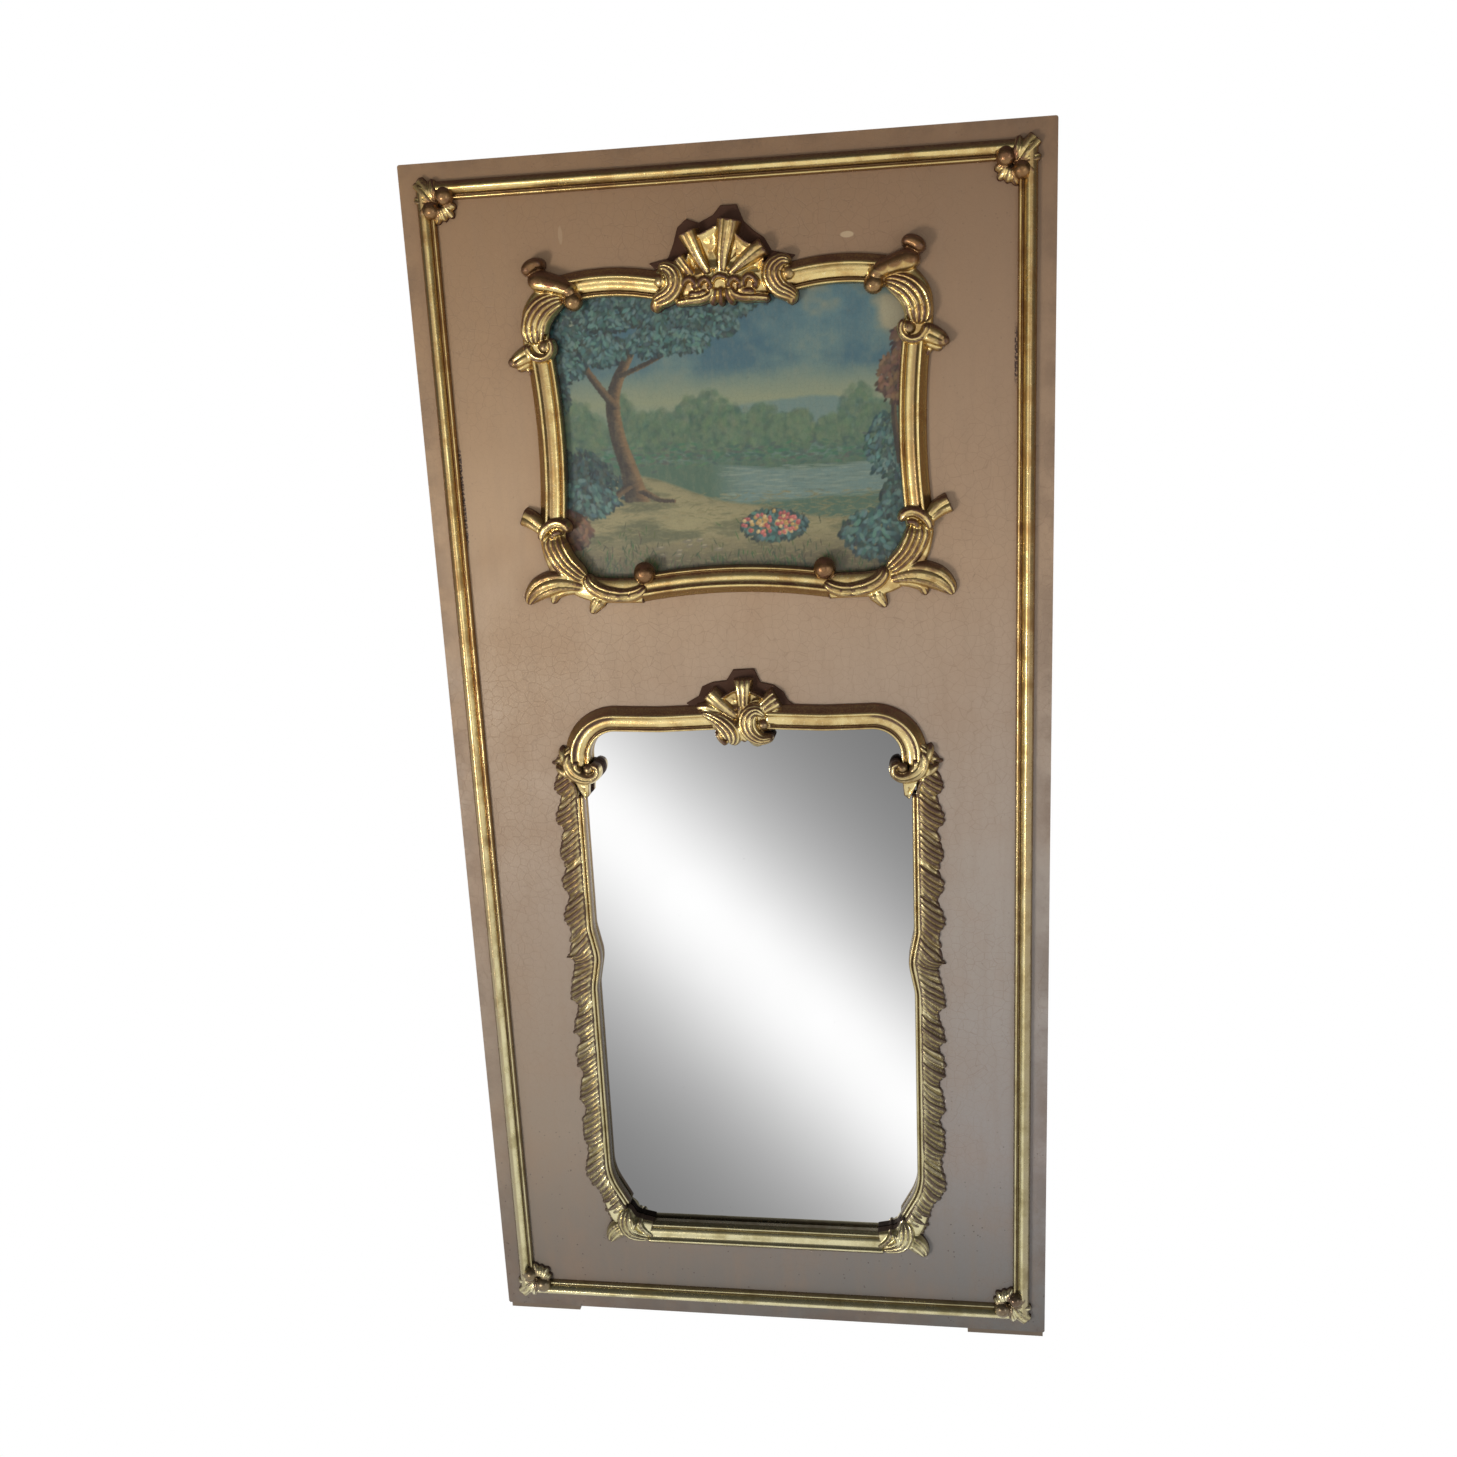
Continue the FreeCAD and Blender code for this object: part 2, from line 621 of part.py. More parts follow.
def path_runs(points):
    """Straight runs and tangent bends through points of (across, up, bend radius)."""
    runs = []
    here = V(points[0][0], 0, points[0][1])
    for number in range(1, len(points)):
        corner = V(points[number][0], 0, points[number][1])
        radius = points[number][2]
        if number == len(points) - 1 or not radius:
            runs.append(("line", here, corner))
            here = corner
            continue
        after = V(points[number + 1][0], 0, points[number + 1][1])
        before_way = (corner - here).normalize()
        after_way = (after - corner).normalize()
        turn = math.atan2(before_way.x * after_way.z - before_way.z * after_way.x,
                          before_way.dot(after_way))
        cut = radius * math.tan(abs(turn) / 2)
        start = corner - before_way * cut
        end = corner + after_way * cut
        left = V(-before_way.z, 0, before_way.x)
        centre = start + left * (radius if turn > 0 else -radius)
        if (start - here).Length > 1e-6:
            runs.append(("line", here, start))
        runs.append(("bend", start, centre, turn, math.atan2(before_way.z, before_way.x)))
        here = end
    return runs


def sweep(profile, width, points):
    """One solid moulding along a path of straight runs and bends."""
    solid = None
    for run in path_runs(points):
        if run[0] == "line":
            way = run[2] - run[1]
            heading = math.atan2(way.z, way.x)
            piece = section_face(profile, width, run[1], heading).extrude(way)
        else:
            start, centre, turn, heading = run[1:]
            face = section_face(profile, width, start, heading)
            piece = face.revolve(centre, FRONT, math.degrees(turn))
        solid = piece if solid is None else solid.fuse(piece)
    return solid.removeSplitter()


def border_moulding(name, length, place, angle):
    """A straight length of the gilt border, mitred at both ends."""
    width = size("border_width")
    run = [(-length / 2, 0, 0), (length / 2, 0, 0)]
    piece = sweep(border_profile(), width, run)
    tall = 2 * size("border_relief")
    for sign in SIDES.values():
        tip = V(sign * length / 2, -tall, width / 2)
        foot = V(sign * (length / 2 - width), -tall, -width / 2)
        far = V(sign * (length / 2 + 1), -tall, -width / 2)
        top = V(sign * (length / 2 + 1), -tall, width / 2)
        wedge = Part.Face(Part.makePolygon([tip, foot, far, top, tip]))
        piece = piece.cut(wedge.extrude(V(0, 2 * tall, 0)))
    placement = FreeCAD.Placement(place, FreeCAD.Rotation(FRONT, angle))
    return add_feature(f"border_moulding_{name}", piece, placement)


def border():
    """The four lengths of the gilt border near the edge of the painted front."""
    margin = size("border_margin")
    length_x = size("panel_width") - 2 * margin
    length_z = size("panel_height") - 2 * margin
    line = margin + size("border_width") / 2
    side_x = size("panel_width") / 2 - line
    low_z = size("foot_height") + line
    high_z = size("foot_height") + size("panel_height") - line
    middle_z = (low_z + high_z) / 2
    return {
        "top": border_moulding("top", length_x, V(0, 0, high_z), 0),
        "right": border_moulding("right", length_z, V(side_x, 0, middle_z), -90),
        "bottom": border_moulding("bottom", length_x, V(0, 0, low_z), 180),
        "left": border_moulding("left", length_z, V(-side_x, 0, middle_z), 90),
    }


# ---------------------------------------------------------------- carved members

def arched_section(point, heading, width, height):
    """A closed section on the panel: flat behind, straight flanks, arched in front."""
    across = V(-math.sin(heading), 0, math.cos(heading)) * (width / 2)
    flank = max(height - width / 2, height * 0.25)
    left = point + across
    right = point - across
    left_top = left + FRONT * flank
    right_top = right + FRONT * flank
    crown = point + FRONT * height
    edges = [
        Part.LineSegment(right, left).toShape(),
        Part.LineSegment(left, left_top).toShape(),
        Part.Arc(left_top, crown, right_top).toShape(),
        Part.LineSegment(right_top, right).toShape(),
    ]
    return Part.Wire(edges)


def horn(stations):
    """A carved member through stations of (across, up, width, height)."""
    points = [V(station[0], 0, station[1]) for station in stations]
    wires = []
    for number, station in enumerate(stations):
        before = points[max(number - 1, 0)]
        after = points[min(number + 1, len(points) - 1)]
        way = after - before
        heading = math.atan2(way.z, way.x)
        wires.append(arched_section(points[number], heading, station[2], station[3]))
    return Part.makeLoft(wires, True, True)


def curl(centre, radii, angles, widths, heights, steps):
    """Stations along a spiral; each pair gives the start and the end value."""
    stations = []
    for number in range(steps + 1):
        share = number / steps
        radius = radii[0] + (radii[1] - radii[0]) * share
        angle = math.radians(angles[0] + (angles[1] - angles[0]) * share)
        across = centre[0] + radius * math.cos(angle)
        up = centre[1] + radius * math.sin(angle)
        width = widths[0] + (widths[1] - widths[0]) * share
        height = heights[0] + (heights[1] - heights[0]) * share
        stations.append((across, up, width, height))
    return stations


def knob(centre, radius, height):
    """A ball whose crown stands out from the panel by the given height.

    A low one is half buried and a high one stands on a neck of its own.
    """
    middle = V(centre[0], radius - height, centre[1])
    ball = Part.makeSphere(radius, middle)
    if height > radius:
        neck = Part.makeCylinder(0.85 * radius, height - radius, V(centre[0], 0, centre[1]), FRONT)
        ball = ball.fuse(neck)
    corner = V(centre[0] - 2 * radius, 0, centre[1] - 2 * radius)
    behind = Part.makeBox(4 * radius, 4 * radius, 4 * radius, corner)
    return ball.cut(behind)


def carve(pieces, cutters=()):
    """Joins carved members into one solid and copes it over the mouldings beside it."""
    solid = pieces[0].multiFuse(pieces[1:]) if len(pieces) > 1 else pieces[0]
    for cutter in cutters:
        solid = solid.cut(cutter)
    solid = solid.removeSplitter()
    whole = max(solid.Solids, key=lambda item: item.Volume)
    if solid.Volume - whole.Volume > CRUMB:
        raise ValueError("a carving falls into several solids")
    return whole


def shifted(stations, anchor, flip=1):
    """Stations given from an anchor point, flipped to the right half if asked."""
    return [(anchor[0] + flip * across, anchor[1] + up, width, height)
            for across, up, width, height in stations]


def to_right(shape):
    """The same carving for the right half."""
    return shape.mirror(V(0, 0, 0), V(1, 0, 0))


def corner_spray(name, flip_up, mouldings):
    """Two berries between a fan of leaves, over a mitre of the border."""
    line = size("border_margin") + size("border_width") / 2
    mitre_x = -(size("panel_width") / 2 - line)
    top = size("foot_height") + size("panel_height")
    mitre_z = top - line if flip_up > 0 else size("foot_height") + line
    tall = size("spray_relief")
    berry = size("berry_radius")

    def place(stations):
        return [(mitre_x + across, mitre_z + flip_up * up, width, height)
                for across, up, width, height in stations]

    members = [
        [(8, -8, 14, tall), (-6, 6, 14, tall * 0.95), (-13, 14, 9, tall * 0.7),
         (-15, 17, 3, tall * 0.5)],
        [(4, -4, 10, tall), (6, 8, 10, tall * 0.95), (8, 15, 8, tall * 0.75),
         (9, 18, 3, tall * 0.5)],
        [(4, -4, 10, tall), (-8, -6, 10, tall * 0.95), (-14, -8, 8, tall * 0.75),
         (-18, -9, 3, tall * 0.5)],
        [(2, -2, 14, tall * 0.9), (18, -16, 20, tall * 0.8), (30, -24, 16, tall * 0.45),
         (36, -27, 6, tall * 0.2)],
        [(2, -2, 12, tall * 0.9), (16, -24, 16, tall * 0.8), (22, -35, 12, tall * 0.4),
         (24, -40, 5, tall * 0.2)],
        [(2, -2, 12, tall * 0.9), (26, -10, 14, tall * 0.8), (34, -14, 10, tall * 0.5),
         (37, -16, 5, tall * 0.2)],
    ]
    pieces = [horn(place(stations)) for stations in members]
    pieces.append(knob((mitre_x + 18, mitre_z + flip_up * -4), berry, tall))
    pieces.append(knob((mitre_x + 5, mitre_z + flip_up * -20), berry - 1.5, tall - 1))
    solid = carve(pieces, mouldings)
    add_feature(f"corner_spray_{name}_left", solid)
    add_feature(f"corner_spray_{name}_right", to_right(solid))


# ---------------------------------------------------------------- picture frame

def picture_lines():
    """Middle lines of the picture's mouldings: side, top and bottom."""
    half = size("frame_width") / 2
    side_x = size("picture_sight_width") / 2 + half
    top_z = size("picture_sight_high") + half
    low_z = size("picture_sight_low") - half
    return side_x, top_z, low_z


def frame_piece(points):
    """A length of the cartouche moulding."""
    return sweep(frame_profile(), size("frame_width"), points)


def bowed(start, middle, end):
    """A gentle bow: one large bend whose arc passes near the middle point."""
    chord = math.hypot(end[0] - start[0], end[1] - start[1])
    mid_x = (start[0] + end[0]) / 2
    mid_z = (start[1] + end[1]) / 2
    apex = (2 * middle[0] - mid_x, 2 * middle[1] - mid_z)
    rise = math.hypot(middle[0] - mid_x, middle[1] - mid_z)
    half_turn = 2 * math.atan(2 * rise / chord)
    leg = chord / 2 / math.cos(half_turn)
    radius = 0.98 * leg / math.tan(half_turn)
    return [(start[0], start[1], 0), (apex[0], apex[1], radius), (end[0], end[1], 0)]


def picture_mouldings():
    """The plain lengths of the picture's frame, between its carvings."""
    side_x, top_z, low_z = picture_lines()
    run = size("corner_run")
    waist = size("picture_waist")
    low_end = low_z + run + 32
    high_end = top_z - run - 26
    middle_z = (low_end + high_end) / 2
    left = frame_piece(bowed((-side_x, low_end), (-side_x + waist, middle_z),
                             (-side_x, high_end)))
    crest = size("crest_half_width")
    top_left = frame_piece(bowed((-side_x + run, top_z), ((-side_x + run - crest) / 2,
                                                         top_z + 2), (-crest, top_z - 3)))
    reach = side_x - size("bottom_corner_run")
    rise = size("picture_rise")
    bottom = frame_piece(bowed((reach, low_z), (0, low_z + rise), (-reach, low_z)))
    add_feature("picture_moulding_left", left)
    add_feature("picture_moulding_right", to_right(left))
    add_feature("picture_moulding_top_left", top_left)
    add_feature("picture_moulding_top_right", to_right(top_left))
    add_feature("picture_moulding_bottom", bottom)
    return {"side": left, "top": top_left, "bottom": bottom}


def picture_top_corner(mouldings):
    """Upper corner of the picture: a ribbed C-scroll under a curled leaf."""
    side_x, top_z, _ = picture_lines()
    run = size("corner_run")
    radius = size("picture_corner_radius")
    tall = size("carving_relief")
    band = frame_piece([(-side_x, top_z - run - 26, 0), (-side_x, top_z, radius),
                        (-side_x + run, top_z, 0)])
    anchor = (-side_x, top_z)
    scroll = curl((48, -46), (54, 50), (105, 198), (30, 34), (tall * 0.85, tall), 8)
    volute = curl((8, -74), (14, 11), (190, 330), (12, 9), (tall, tall * 0.8), 6)
    leaf = [(54, -6, 14, tall), (34, 6, 20, tall), (12, 9, 22, tall),
            (-4, 12, 18, tall * 0.95), (-4, 20, 14, tall * 0.9), (4, 25, 9, tall * 0.8)]
    side_leaf = [(-10, -68, 26, tall * 0.7), (-22, -80, 18, tall * 0.8),
                 (-32, -88, 14, tall * 0.75), (-37, -90, 8, tall * 0.5)]
    lower_leaf = [(-10, -84, 12, tall * 0.6), (-18, -92, 10, tall * 0.5),
                  (-24, -92, 6, tall * 0.4)]
    pieces = [band]
    pieces += [horn(shifted(item, anchor)) for item in
               (scroll, volute, leaf, side_leaf, lower_leaf)]
    pieces.append(knob((anchor[0] + 50, anchor[1] - 18), 11, tall))
    pieces.append(knob((anchor[0] + 9, anchor[1] - 75), 11, tall))
    solid = carve(pieces, [mouldings["side"], mouldings["top"]])
    add_feature("picture_corner_top_left", solid)
    add_feature("picture_corner_top_right", to_right(solid))


def picture_bottom_corner(mouldings):
    """Lower corner of the picture: two scrolls, a ball and three leaves."""
    side_x, _, low_z = picture_lines()
    run = size("corner_run")
    reach = size("bottom_corner_run")
    radius = size("picture_corner_radius")
    tall = size("carving_relief")
    end_x = -side_x + reach - size("corner_setback")
    band = frame_piece([(end_x, low_z, 0), (-side_x, low_z, radius),
                        (-side_x, low_z + run + 32, 0)])
    anchor = (-side_x, low_z)
    scroll = [(6, 80, 30, tall), (0, 62, 38, tall), (5, 44, 38, tall),
              (18, 26, 36, tall * 0.95), (36, 14, 32, tall * 0.9), (48, 8, 28, tall * 0.8)]
    second = [(42, 18, 12, tall), (50, 2, 20, tall), (66, -9, 20, tall),
              (88, -13, 19, tall), (106, -9, 18, tall), (117, 2, 16, tall)]
    side_leaf = [(-6, 82, 16, tall * 0.7), (-20, 94, 20, tall * 0.8),
                 (-32, 100, 24, tall * 0.8), (-38, 102, 26, tall * 0.7)]
    spray = [(44, 12, 12, tall * 0.7), (14, 15, 20, tall * 0.8), (-8, 15, 26, tall * 0.8),
             (-28, 8, 24, tall * 0.7), (-39, -4, 14, tall * 0.5), (-42, -14, 7, tall * 0.3)]
    lobe = [(22, 6, 12, tall * 0.6), (4, 0, 12, tall * 0.55), (-6, -10, 8, tall * 0.4),
            (-8, -16, 5, tall * 0.3)]
    tip = [(64, -10, 20, tall * 0.6), (52, -20, 14, tall * 0.5), (45, -29, 6, tall * 0.35)]
    pieces = [band]
    pieces += [horn(shifted(item, anchor)) for item in
               (scroll, second, side_leaf, spray, lobe, tip)]
    pieces.append(knob((anchor[0] + 6, anchor[1] + 84), 17, tall))
    pieces.append(knob((anchor[0] + 119, anchor[1] + 20), 14, tall))
    solid = carve(pieces, [mouldings["side"], mouldings["bottom"]])
    add_feature("picture_corner_bottom_left", solid)
    add_feature("picture_corner_bottom_right", to_right(solid))


def shell_web(centre, points, thickness):
    """The thin dished ground between a shell's ribs, as a flat plate of straight sides."""
    outline = [V(centre[0] + across, 0, centre[1] + up) for across, up in points]
    outline.append(outline[0])
    return Part.Face(Part.makePolygon(outline)).extrude(FRONT * thickness)


def picture_crest(mouldings):
    """The picture's crest: a shell over a ribbon, between two ribbed scrolls."""
    _, top_z, _ = picture_lines()
    half = size("crest_half_width")
    tall = size("crest_relief")
    anchor = (0, top_z)
    band = frame_piece([(-half, top_z - 3, 0), (half, top_z - 3, 0)])
    ribs = [
        [(-12, -2, 8, tall * 0.6), (-26, 30, 17, tall * 0.85), (-42, 60, 20, tall)],
        [(-1, 0, 8, tall * 0.6), (4, 38, 20, tall * 0.85), (10, 72, 27, tall)],
        [(10, 2, 8, tall * 0.6), (32, 20, 15, tall * 0.85), (55, 35, 20, tall)],
        [(-22, -2, 8, tall * 0.5), (-36, 14, 14, tall * 0.7), (-50, 27, 14, tall * 0.8)],
    ]
    web = [(-48, -4), (-46, 30), (-34, 54), (-6, 60), (14, 60), (42, 36), (50, 20), (48, -4)]
    side = curl((-76, 3), (21, 15), (-10, 190), (18, 14), (tall * 0.85, tall * 0.85), 8)
    tail = [(-56, -4, 16, tall * 0.8), (-72, -16, 15, tall * 0.75), (-87, -24, 14, tall * 0.7)]
    curls = [horn(shifted(curl((place, -7), (7, 7), (-20, 200), (9, 9),
                               (tall * 0.9, tall * 0.9), 6), anchor))
             for place in (-40, -20, 18, 37)]
    ribbon = [(-60, -28, 12, tall * 0.6), (-30, -26, 14, tall * 0.7), (0, -18, 22, tall * 0.8),
              (30, -26, 14, tall * 0.7), (60, -28, 12, tall * 0.6)]
    drop = [(0, -6, 22, tall), (0, -22, 16, tall * 0.9), (0, -32, 10, tall * 0.6)]
    pieces = [band, shell_web(anchor, web, tall * 0.45)]
    pieces += [horn(shifted(item, anchor)) for item in ribs + [ribbon, drop]]
    pieces += curls
    for flip in SIDES.values():
        pieces.append(horn(shifted(side, anchor, -flip)))
        pieces.append(horn(shifted(tail, anchor, -flip)))
    cutters = [mouldings["top"], to_right(mouldings["top"])]
    add_feature("picture_crest", carve(pieces, cutters))


# ---------------------------------------------------------------- mirror frame

def mirror_mouldings():
    """Top and bottom lengths of the mirror's frame; the top ones end in volutes."""
    half = size("frame_width") / 2
    side_x = size("mirror_sight_width") / 2 - size("mirror_shoulder") + half
    top_z = size("mirror_sight_high") + half
    radius = size("mirror_corner_radius")
    crest = size("mirror_crest_half_width")
    volute_z = top_z - 67
    tall = size("carving_relief")
    middle_x = (-side_x + radius - crest) / 2
    path = [(-side_x, volute_z, 0), (-side_x, top_z + 2, radius),
            (middle_x, top_z - 1, 300), (-crest, top_z + 3, 0)]
    swept = frame_piece(path)
    volute = curl((-side_x + 12, volute_z - 6), (17, 8), (170, 400), (20, 12),
                  (tall, tall * 0.85), 8)
    pieces = [swept, horn(volute), knob((-side_x + 15, volute_z - 6), 12, tall)]
    top_left = carve(pieces)
    add_feature("mirror_moulding_top_left", top_left)
    add_feature("mirror_moulding_top_right", to_right(top_left))
    low_z = size("mirror_sight_low") - half
    run = size("mirror_sight_width") / 2 - 52
    bottom = frame_piece([(run, low_z, 0), (-run, low_z, 0)])
    add_feature("mirror_moulding_bottom", bottom)
    return {"top": top_left, "bottom": bottom, "volute_z": volute_z}


def bead_path():
    """Middle line of the bead down the left side of the glass."""
    line_x = -(size("mirror_sight_width") / 2 + size("bead_width") / 2)
    low = size("mirror_sight_low")
    high = size("mirror_sight_high")
    middle = (low + high) / 2 + 48
    swell = size("bead_swell")
    return [(line_x + 26, low + 30, 0), (line_x, low + 78, 90), (line_x, middle - 45, 60),
            (line_x + swell, middle, 60), (line_x, middle + 45, 60),
            (line_x, high - 92, 0)]


def mirror_bead(mouldings):
    """Double bead down each side of the glass, swelling halfway up."""
    bead = sweep(bead_profile(), size("bead_width"), bead_path())
    bead = bead.cut(mouldings["top"]).removeSplitter()
    add_feature("mirror_bead_left", bead)
    add_feature("mirror_bead_right", to_right(bead))
    return bead


def leaf_border(mouldings, bead):
    """Overlapping fluted leaves down each side, outside the bead."""
    inner_x = -(size("mirror_sight_width") / 2 + size("bead_width"))
    low = size("mirror_sight_low") + 22
    high = size("mirror_sight_high") - 18
    reach = size("leaf_reach")
    tall = size("leaf_relief")
    count = int(size("leaf_count"))
    pitch = (high - low - 60) / count
    spine = [(inner_x - 6, high, 6, tall * 0.5), (inner_x - 11, high - 50, 20, tall * 0.6),
             (inner_x - 11, low + 60, 20, tall * 0.6), (inner_x + 4, low + 18, 24, tall * 0.6),
             (inner_x + 16, low, 20, tall * 0.6)]
    pieces = [horn(spine)]
    for number in range(count + 1):
        start_z = high - 24 - pitch * number
        inward = 14 * max(0, (number - count + 1.4)) / 1.4
        stations = [(inner_x - 2 + inward, start_z, pitch * 0.7, tall * 0.8),
                    (inner_x - reach * 0.45 + inward, start_z - 9, pitch * 0.75, tall),
                    (inner_x - reach * 0.85 + inward, start_z - 19, pitch * 0.6, tall * 0.7),
                    (inner_x - reach + inward, start_z - 25, pitch * 0.35, tall * 0.35)]
        pieces.append(horn(stations))
    solid = carve(pieces, [mouldings["top"], bead, mouldings["bottom"]])
    add_feature("mirror_leaf_border_left", solid)
    add_feature("mirror_leaf_border_right", to_right(solid))
    return solid


def mirror_bottom_corner(mouldings, bead, border_piece):
    """Lower corner of the mirror: a ribbed volute, a ball and a small leaf."""
    half = size("frame_width") / 2
    low_z = size("mirror_sight_low") - half
    run = size("mirror_sight_width") / 2 - 52
    tall = size("carving_relief")
    anchor = (-run, low_z)
    band = [(0, 0, 34, tall * 0.5), (-18, 6, 36, tall * 0.6), (-34, 22, 34, tall * 0.6),
            (-40, 40, 26, tall * 0.5)]
    lip = shell_web(anchor, [(0, 8), (0, 18), (-20, 30), (-34, 50), (-44, 50), (-44, 8)],
                    tall * 0.45)
    ribbed = curl((-24, 10), (21, 19), (100, 270), (20, 16), (tall, tall * 0.8), 8)
    leaf = [(-34, 4, 20, tall * 0.5), (-50, -4, 26, tall * 0.5), (-60, -14, 20, tall * 0.35),
            (-64, -20, 8, tall * 0.2)]
    pieces = [lip] + [horn(shifted(item, anchor)) for item in (band, ribbed, leaf)]
    pieces.append(knob((anchor[0] - 22, anchor[1] + 12), 14, tall))
    solid = carve(pieces, [mouldings["bottom"], bead, border_piece])
    add_feature("mirror_corner_bottom_left", solid)
    add_feature("mirror_corner_bottom_right", to_right(solid))


def mirror_crest(mouldings):
    """The mirror's crest: a small shell over two ribbed comma scrolls."""
    half = size("mirror_crest_half_width")
    top_z = size("mirror_sight_high") + size("frame_width") / 2
    tall = size("crest_relief")
    anchor = (0, top_z)
    ground = [(-half, -15), (-half, 14), (half, 14), (half, -15)]
    ribs = [
        [(-8, 4, 10, tall * 0.6), (-24, 22, 16, tall * 0.8), (-42, 38, 18, tall * 0.9)],
        [(0, 4, 10, tall * 0.6), (2, 30, 20, tall * 0.85), (4, 56, 22, tall)],
        [(8, 4, 10, tall * 0.6), (28, 18, 16, tall * 0.8), (48, 28, 18, tall * 0.9)],
    ]
    tips = [[(-20, 10, 18, tall * 0.6), (-44, 14, 14, tall * 0.6), (-62, 16, 8, tall * 0.4)],
            [(20, 6, 18, tall * 0.6), (46, 8, 14, tall * 0.6), (64, 8, 8, tall * 0.4)]]
    web = [(-40, 6), (-38, 34), (-4, 46), (12, 46), (44, 26), (44, 6)]
    comma = [(-56, 13, 10, tall * 0.6), (-42, 9, 18, tall * 0.75), (-24, -1, 26, tall * 0.8),
             (-14, -16, 29, tall * 0.85), (-14, -31, 23, tall * 0.8), (-20, -38, 13, tall * 0.7)]
    scroll = curl((23, -9), (15, 12), (75, 265), (21, 18), (tall * 0.9, tall * 0.8), 7)
    foot = [(9, -25, 16, tall * 0.7), (13, -37, 13, tall * 0.55), (17, -43, 6, tall * 0.45)]
    pieces = [shell_web(anchor, ground, tall * 0.4), shell_web(anchor, web, tall * 0.45)]
    pieces += [horn(shifted(item, anchor)) for item in ribs + tips + [comma, scroll, foot]]
    cutters = [mouldings["top"], to_right(mouldings["top"])]
    add_feature("mirror_crest", carve(pieces, cutters))


# ---------------------------------------------------------------- the whole piece

def build():
    """Every piece, from the back frame to the gilding."""
    for side in SIDES:
        facing_stile(side)
    for name in FACING_RAILS:
        facing_rail(name)
    peg_sketches = [carcass_stile(side) for side in SIDES]
    strap_pilots = [carcass_rail(name) for name in CARCASS_RAILS][-1]

    glass = sheet_and_battens("mirror", "mirror_glass", MIRROR_LOW, MIRROR_HIGH, 5)
    picture = sheet_and_battens("picture", "painted_board", PICTURE_LOW, PICTURE_HIGH, 3)
    low, high, places = glass
    holes = [
        back_board("mirror_back_board_left", f"-{BATTEN_OUT}", "0", low, high,
                   places["left"]),
        back_board("mirror_back_board_right", "0", BATTEN_OUT, low, high,
                   places["right"]),
    ]
    low, high, places = picture
    holes.append(back_board("picture_back_board", f"-{BATTEN_OUT}", BATTEN_OUT, low, high,
                            places["left"] + places["right"]))
    doc.recompute()
    frame_pegs(peg_sketches)
    back_screws(holes)

    strap_screws = hole_centres(strap_pilots)
    for side in SIDES:
        hanger_strap(side, strap_screws)
        hanger_ring(side)
    hanger_screws(strap_screws)

    runs = border()
    corner_spray("top", 1, [runs["left"].Shape, runs["top"].Shape])
    corner_spray("bottom", -1, [runs["left"].Shape, runs["bottom"].Shape])

    picture_runs = picture_mouldings()
    picture_top_corner(picture_runs)
    picture_bottom_corner(picture_runs)
    picture_crest(picture_runs)

    mirror_runs = mirror_mouldings()
    bead = mirror_bead(mirror_runs)
    leaves = leaf_border(mirror_runs, bead)
    mirror_bottom_corner(mirror_runs, bead, leaves)
    mirror_crest(mirror_runs)


def pieces():
    """Every finished piece of the document."""
    kinds = ("PartDesign::Body", "Part::Feature")
    return [item for item in doc.Objects if item.TypeId in kinds]


def check():
    """Stops at any object that failed and at any shape that isn't sound."""
    for item in doc.Objects:
        if "Invalid" in item.State or "Error" in item.State:
            raise ValueError(f"{item.Label} failed: {item.State}")
    for item in pieces():
        if item.Shape.isNull() or not item.Shape.isValid():
            raise ValueError(f"{item.Label} has no sound shape")
        if not item.Shape.Solids:
            raise ValueError(f"{item.Label} holds no solid")


build()
doc.recompute()
check()
for item in pieces():
    item.Shape.exportStep(f"parts/{item.Label}.step")
print(len(pieces()), "pieces")
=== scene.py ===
import math
import random

import bpy
import numpy as np
from mathutils import Matrix, Vector, noise


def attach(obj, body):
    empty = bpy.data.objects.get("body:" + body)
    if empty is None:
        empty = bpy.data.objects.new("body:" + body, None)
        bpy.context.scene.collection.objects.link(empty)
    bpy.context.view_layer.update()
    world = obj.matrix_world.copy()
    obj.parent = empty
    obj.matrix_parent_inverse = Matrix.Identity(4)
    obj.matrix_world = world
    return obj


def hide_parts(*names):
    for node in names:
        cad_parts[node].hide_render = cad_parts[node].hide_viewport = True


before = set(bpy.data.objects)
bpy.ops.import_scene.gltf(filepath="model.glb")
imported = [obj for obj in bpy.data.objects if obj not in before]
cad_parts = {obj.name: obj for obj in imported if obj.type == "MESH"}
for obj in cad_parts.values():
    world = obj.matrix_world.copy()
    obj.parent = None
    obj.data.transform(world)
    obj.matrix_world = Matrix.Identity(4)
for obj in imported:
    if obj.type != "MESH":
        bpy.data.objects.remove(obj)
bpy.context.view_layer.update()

random.seed(11)
BODY = "trumeau"
MM = 0.001

# ------------------------------------------------------------------ the photo's view

# The camera stands at EYE, in millimetres, and RIGHT, UP and BACK are its own axes.
EYE = (267.43, -1795.19, 1405.47)
RIGHT = Vector((0.9882296, 0.14569678, -0.0466338))
UP = Vector((0.00915815, 0.24794787, 0.96873009))
BACK = Vector((0.1527036, -0.95775482, 0.24369511))


def add_camera():
    focal_pixels, picture_pixels = 1362.58, 1457
    data = bpy.data.cameras.new("photo_camera")
    data.sensor_width = 36
    data.lens = data.sensor_width * focal_pixels / picture_pixels
    data.clip_start = 0.05
    data.clip_end = 100
    camera = bpy.data.objects.new("photo_camera", data)
    bpy.context.scene.collection.objects.link(camera)
    matrix = Matrix((RIGHT, UP, BACK)).transposed().to_4x4()
    matrix.translation = Vector(EYE) * MM
    camera.matrix_world = matrix
    bpy.context.scene.camera = camera


def seen(x, z, out):
    """Where a point `out` in front of the panel is, when the photo shows it over (x, z)."""
    share = out / -EYE[1]
    return x + (EYE[0] - x) * share, z + (EYE[2] - z) * share


# ------------------------------------------------------------------ mesh helpers

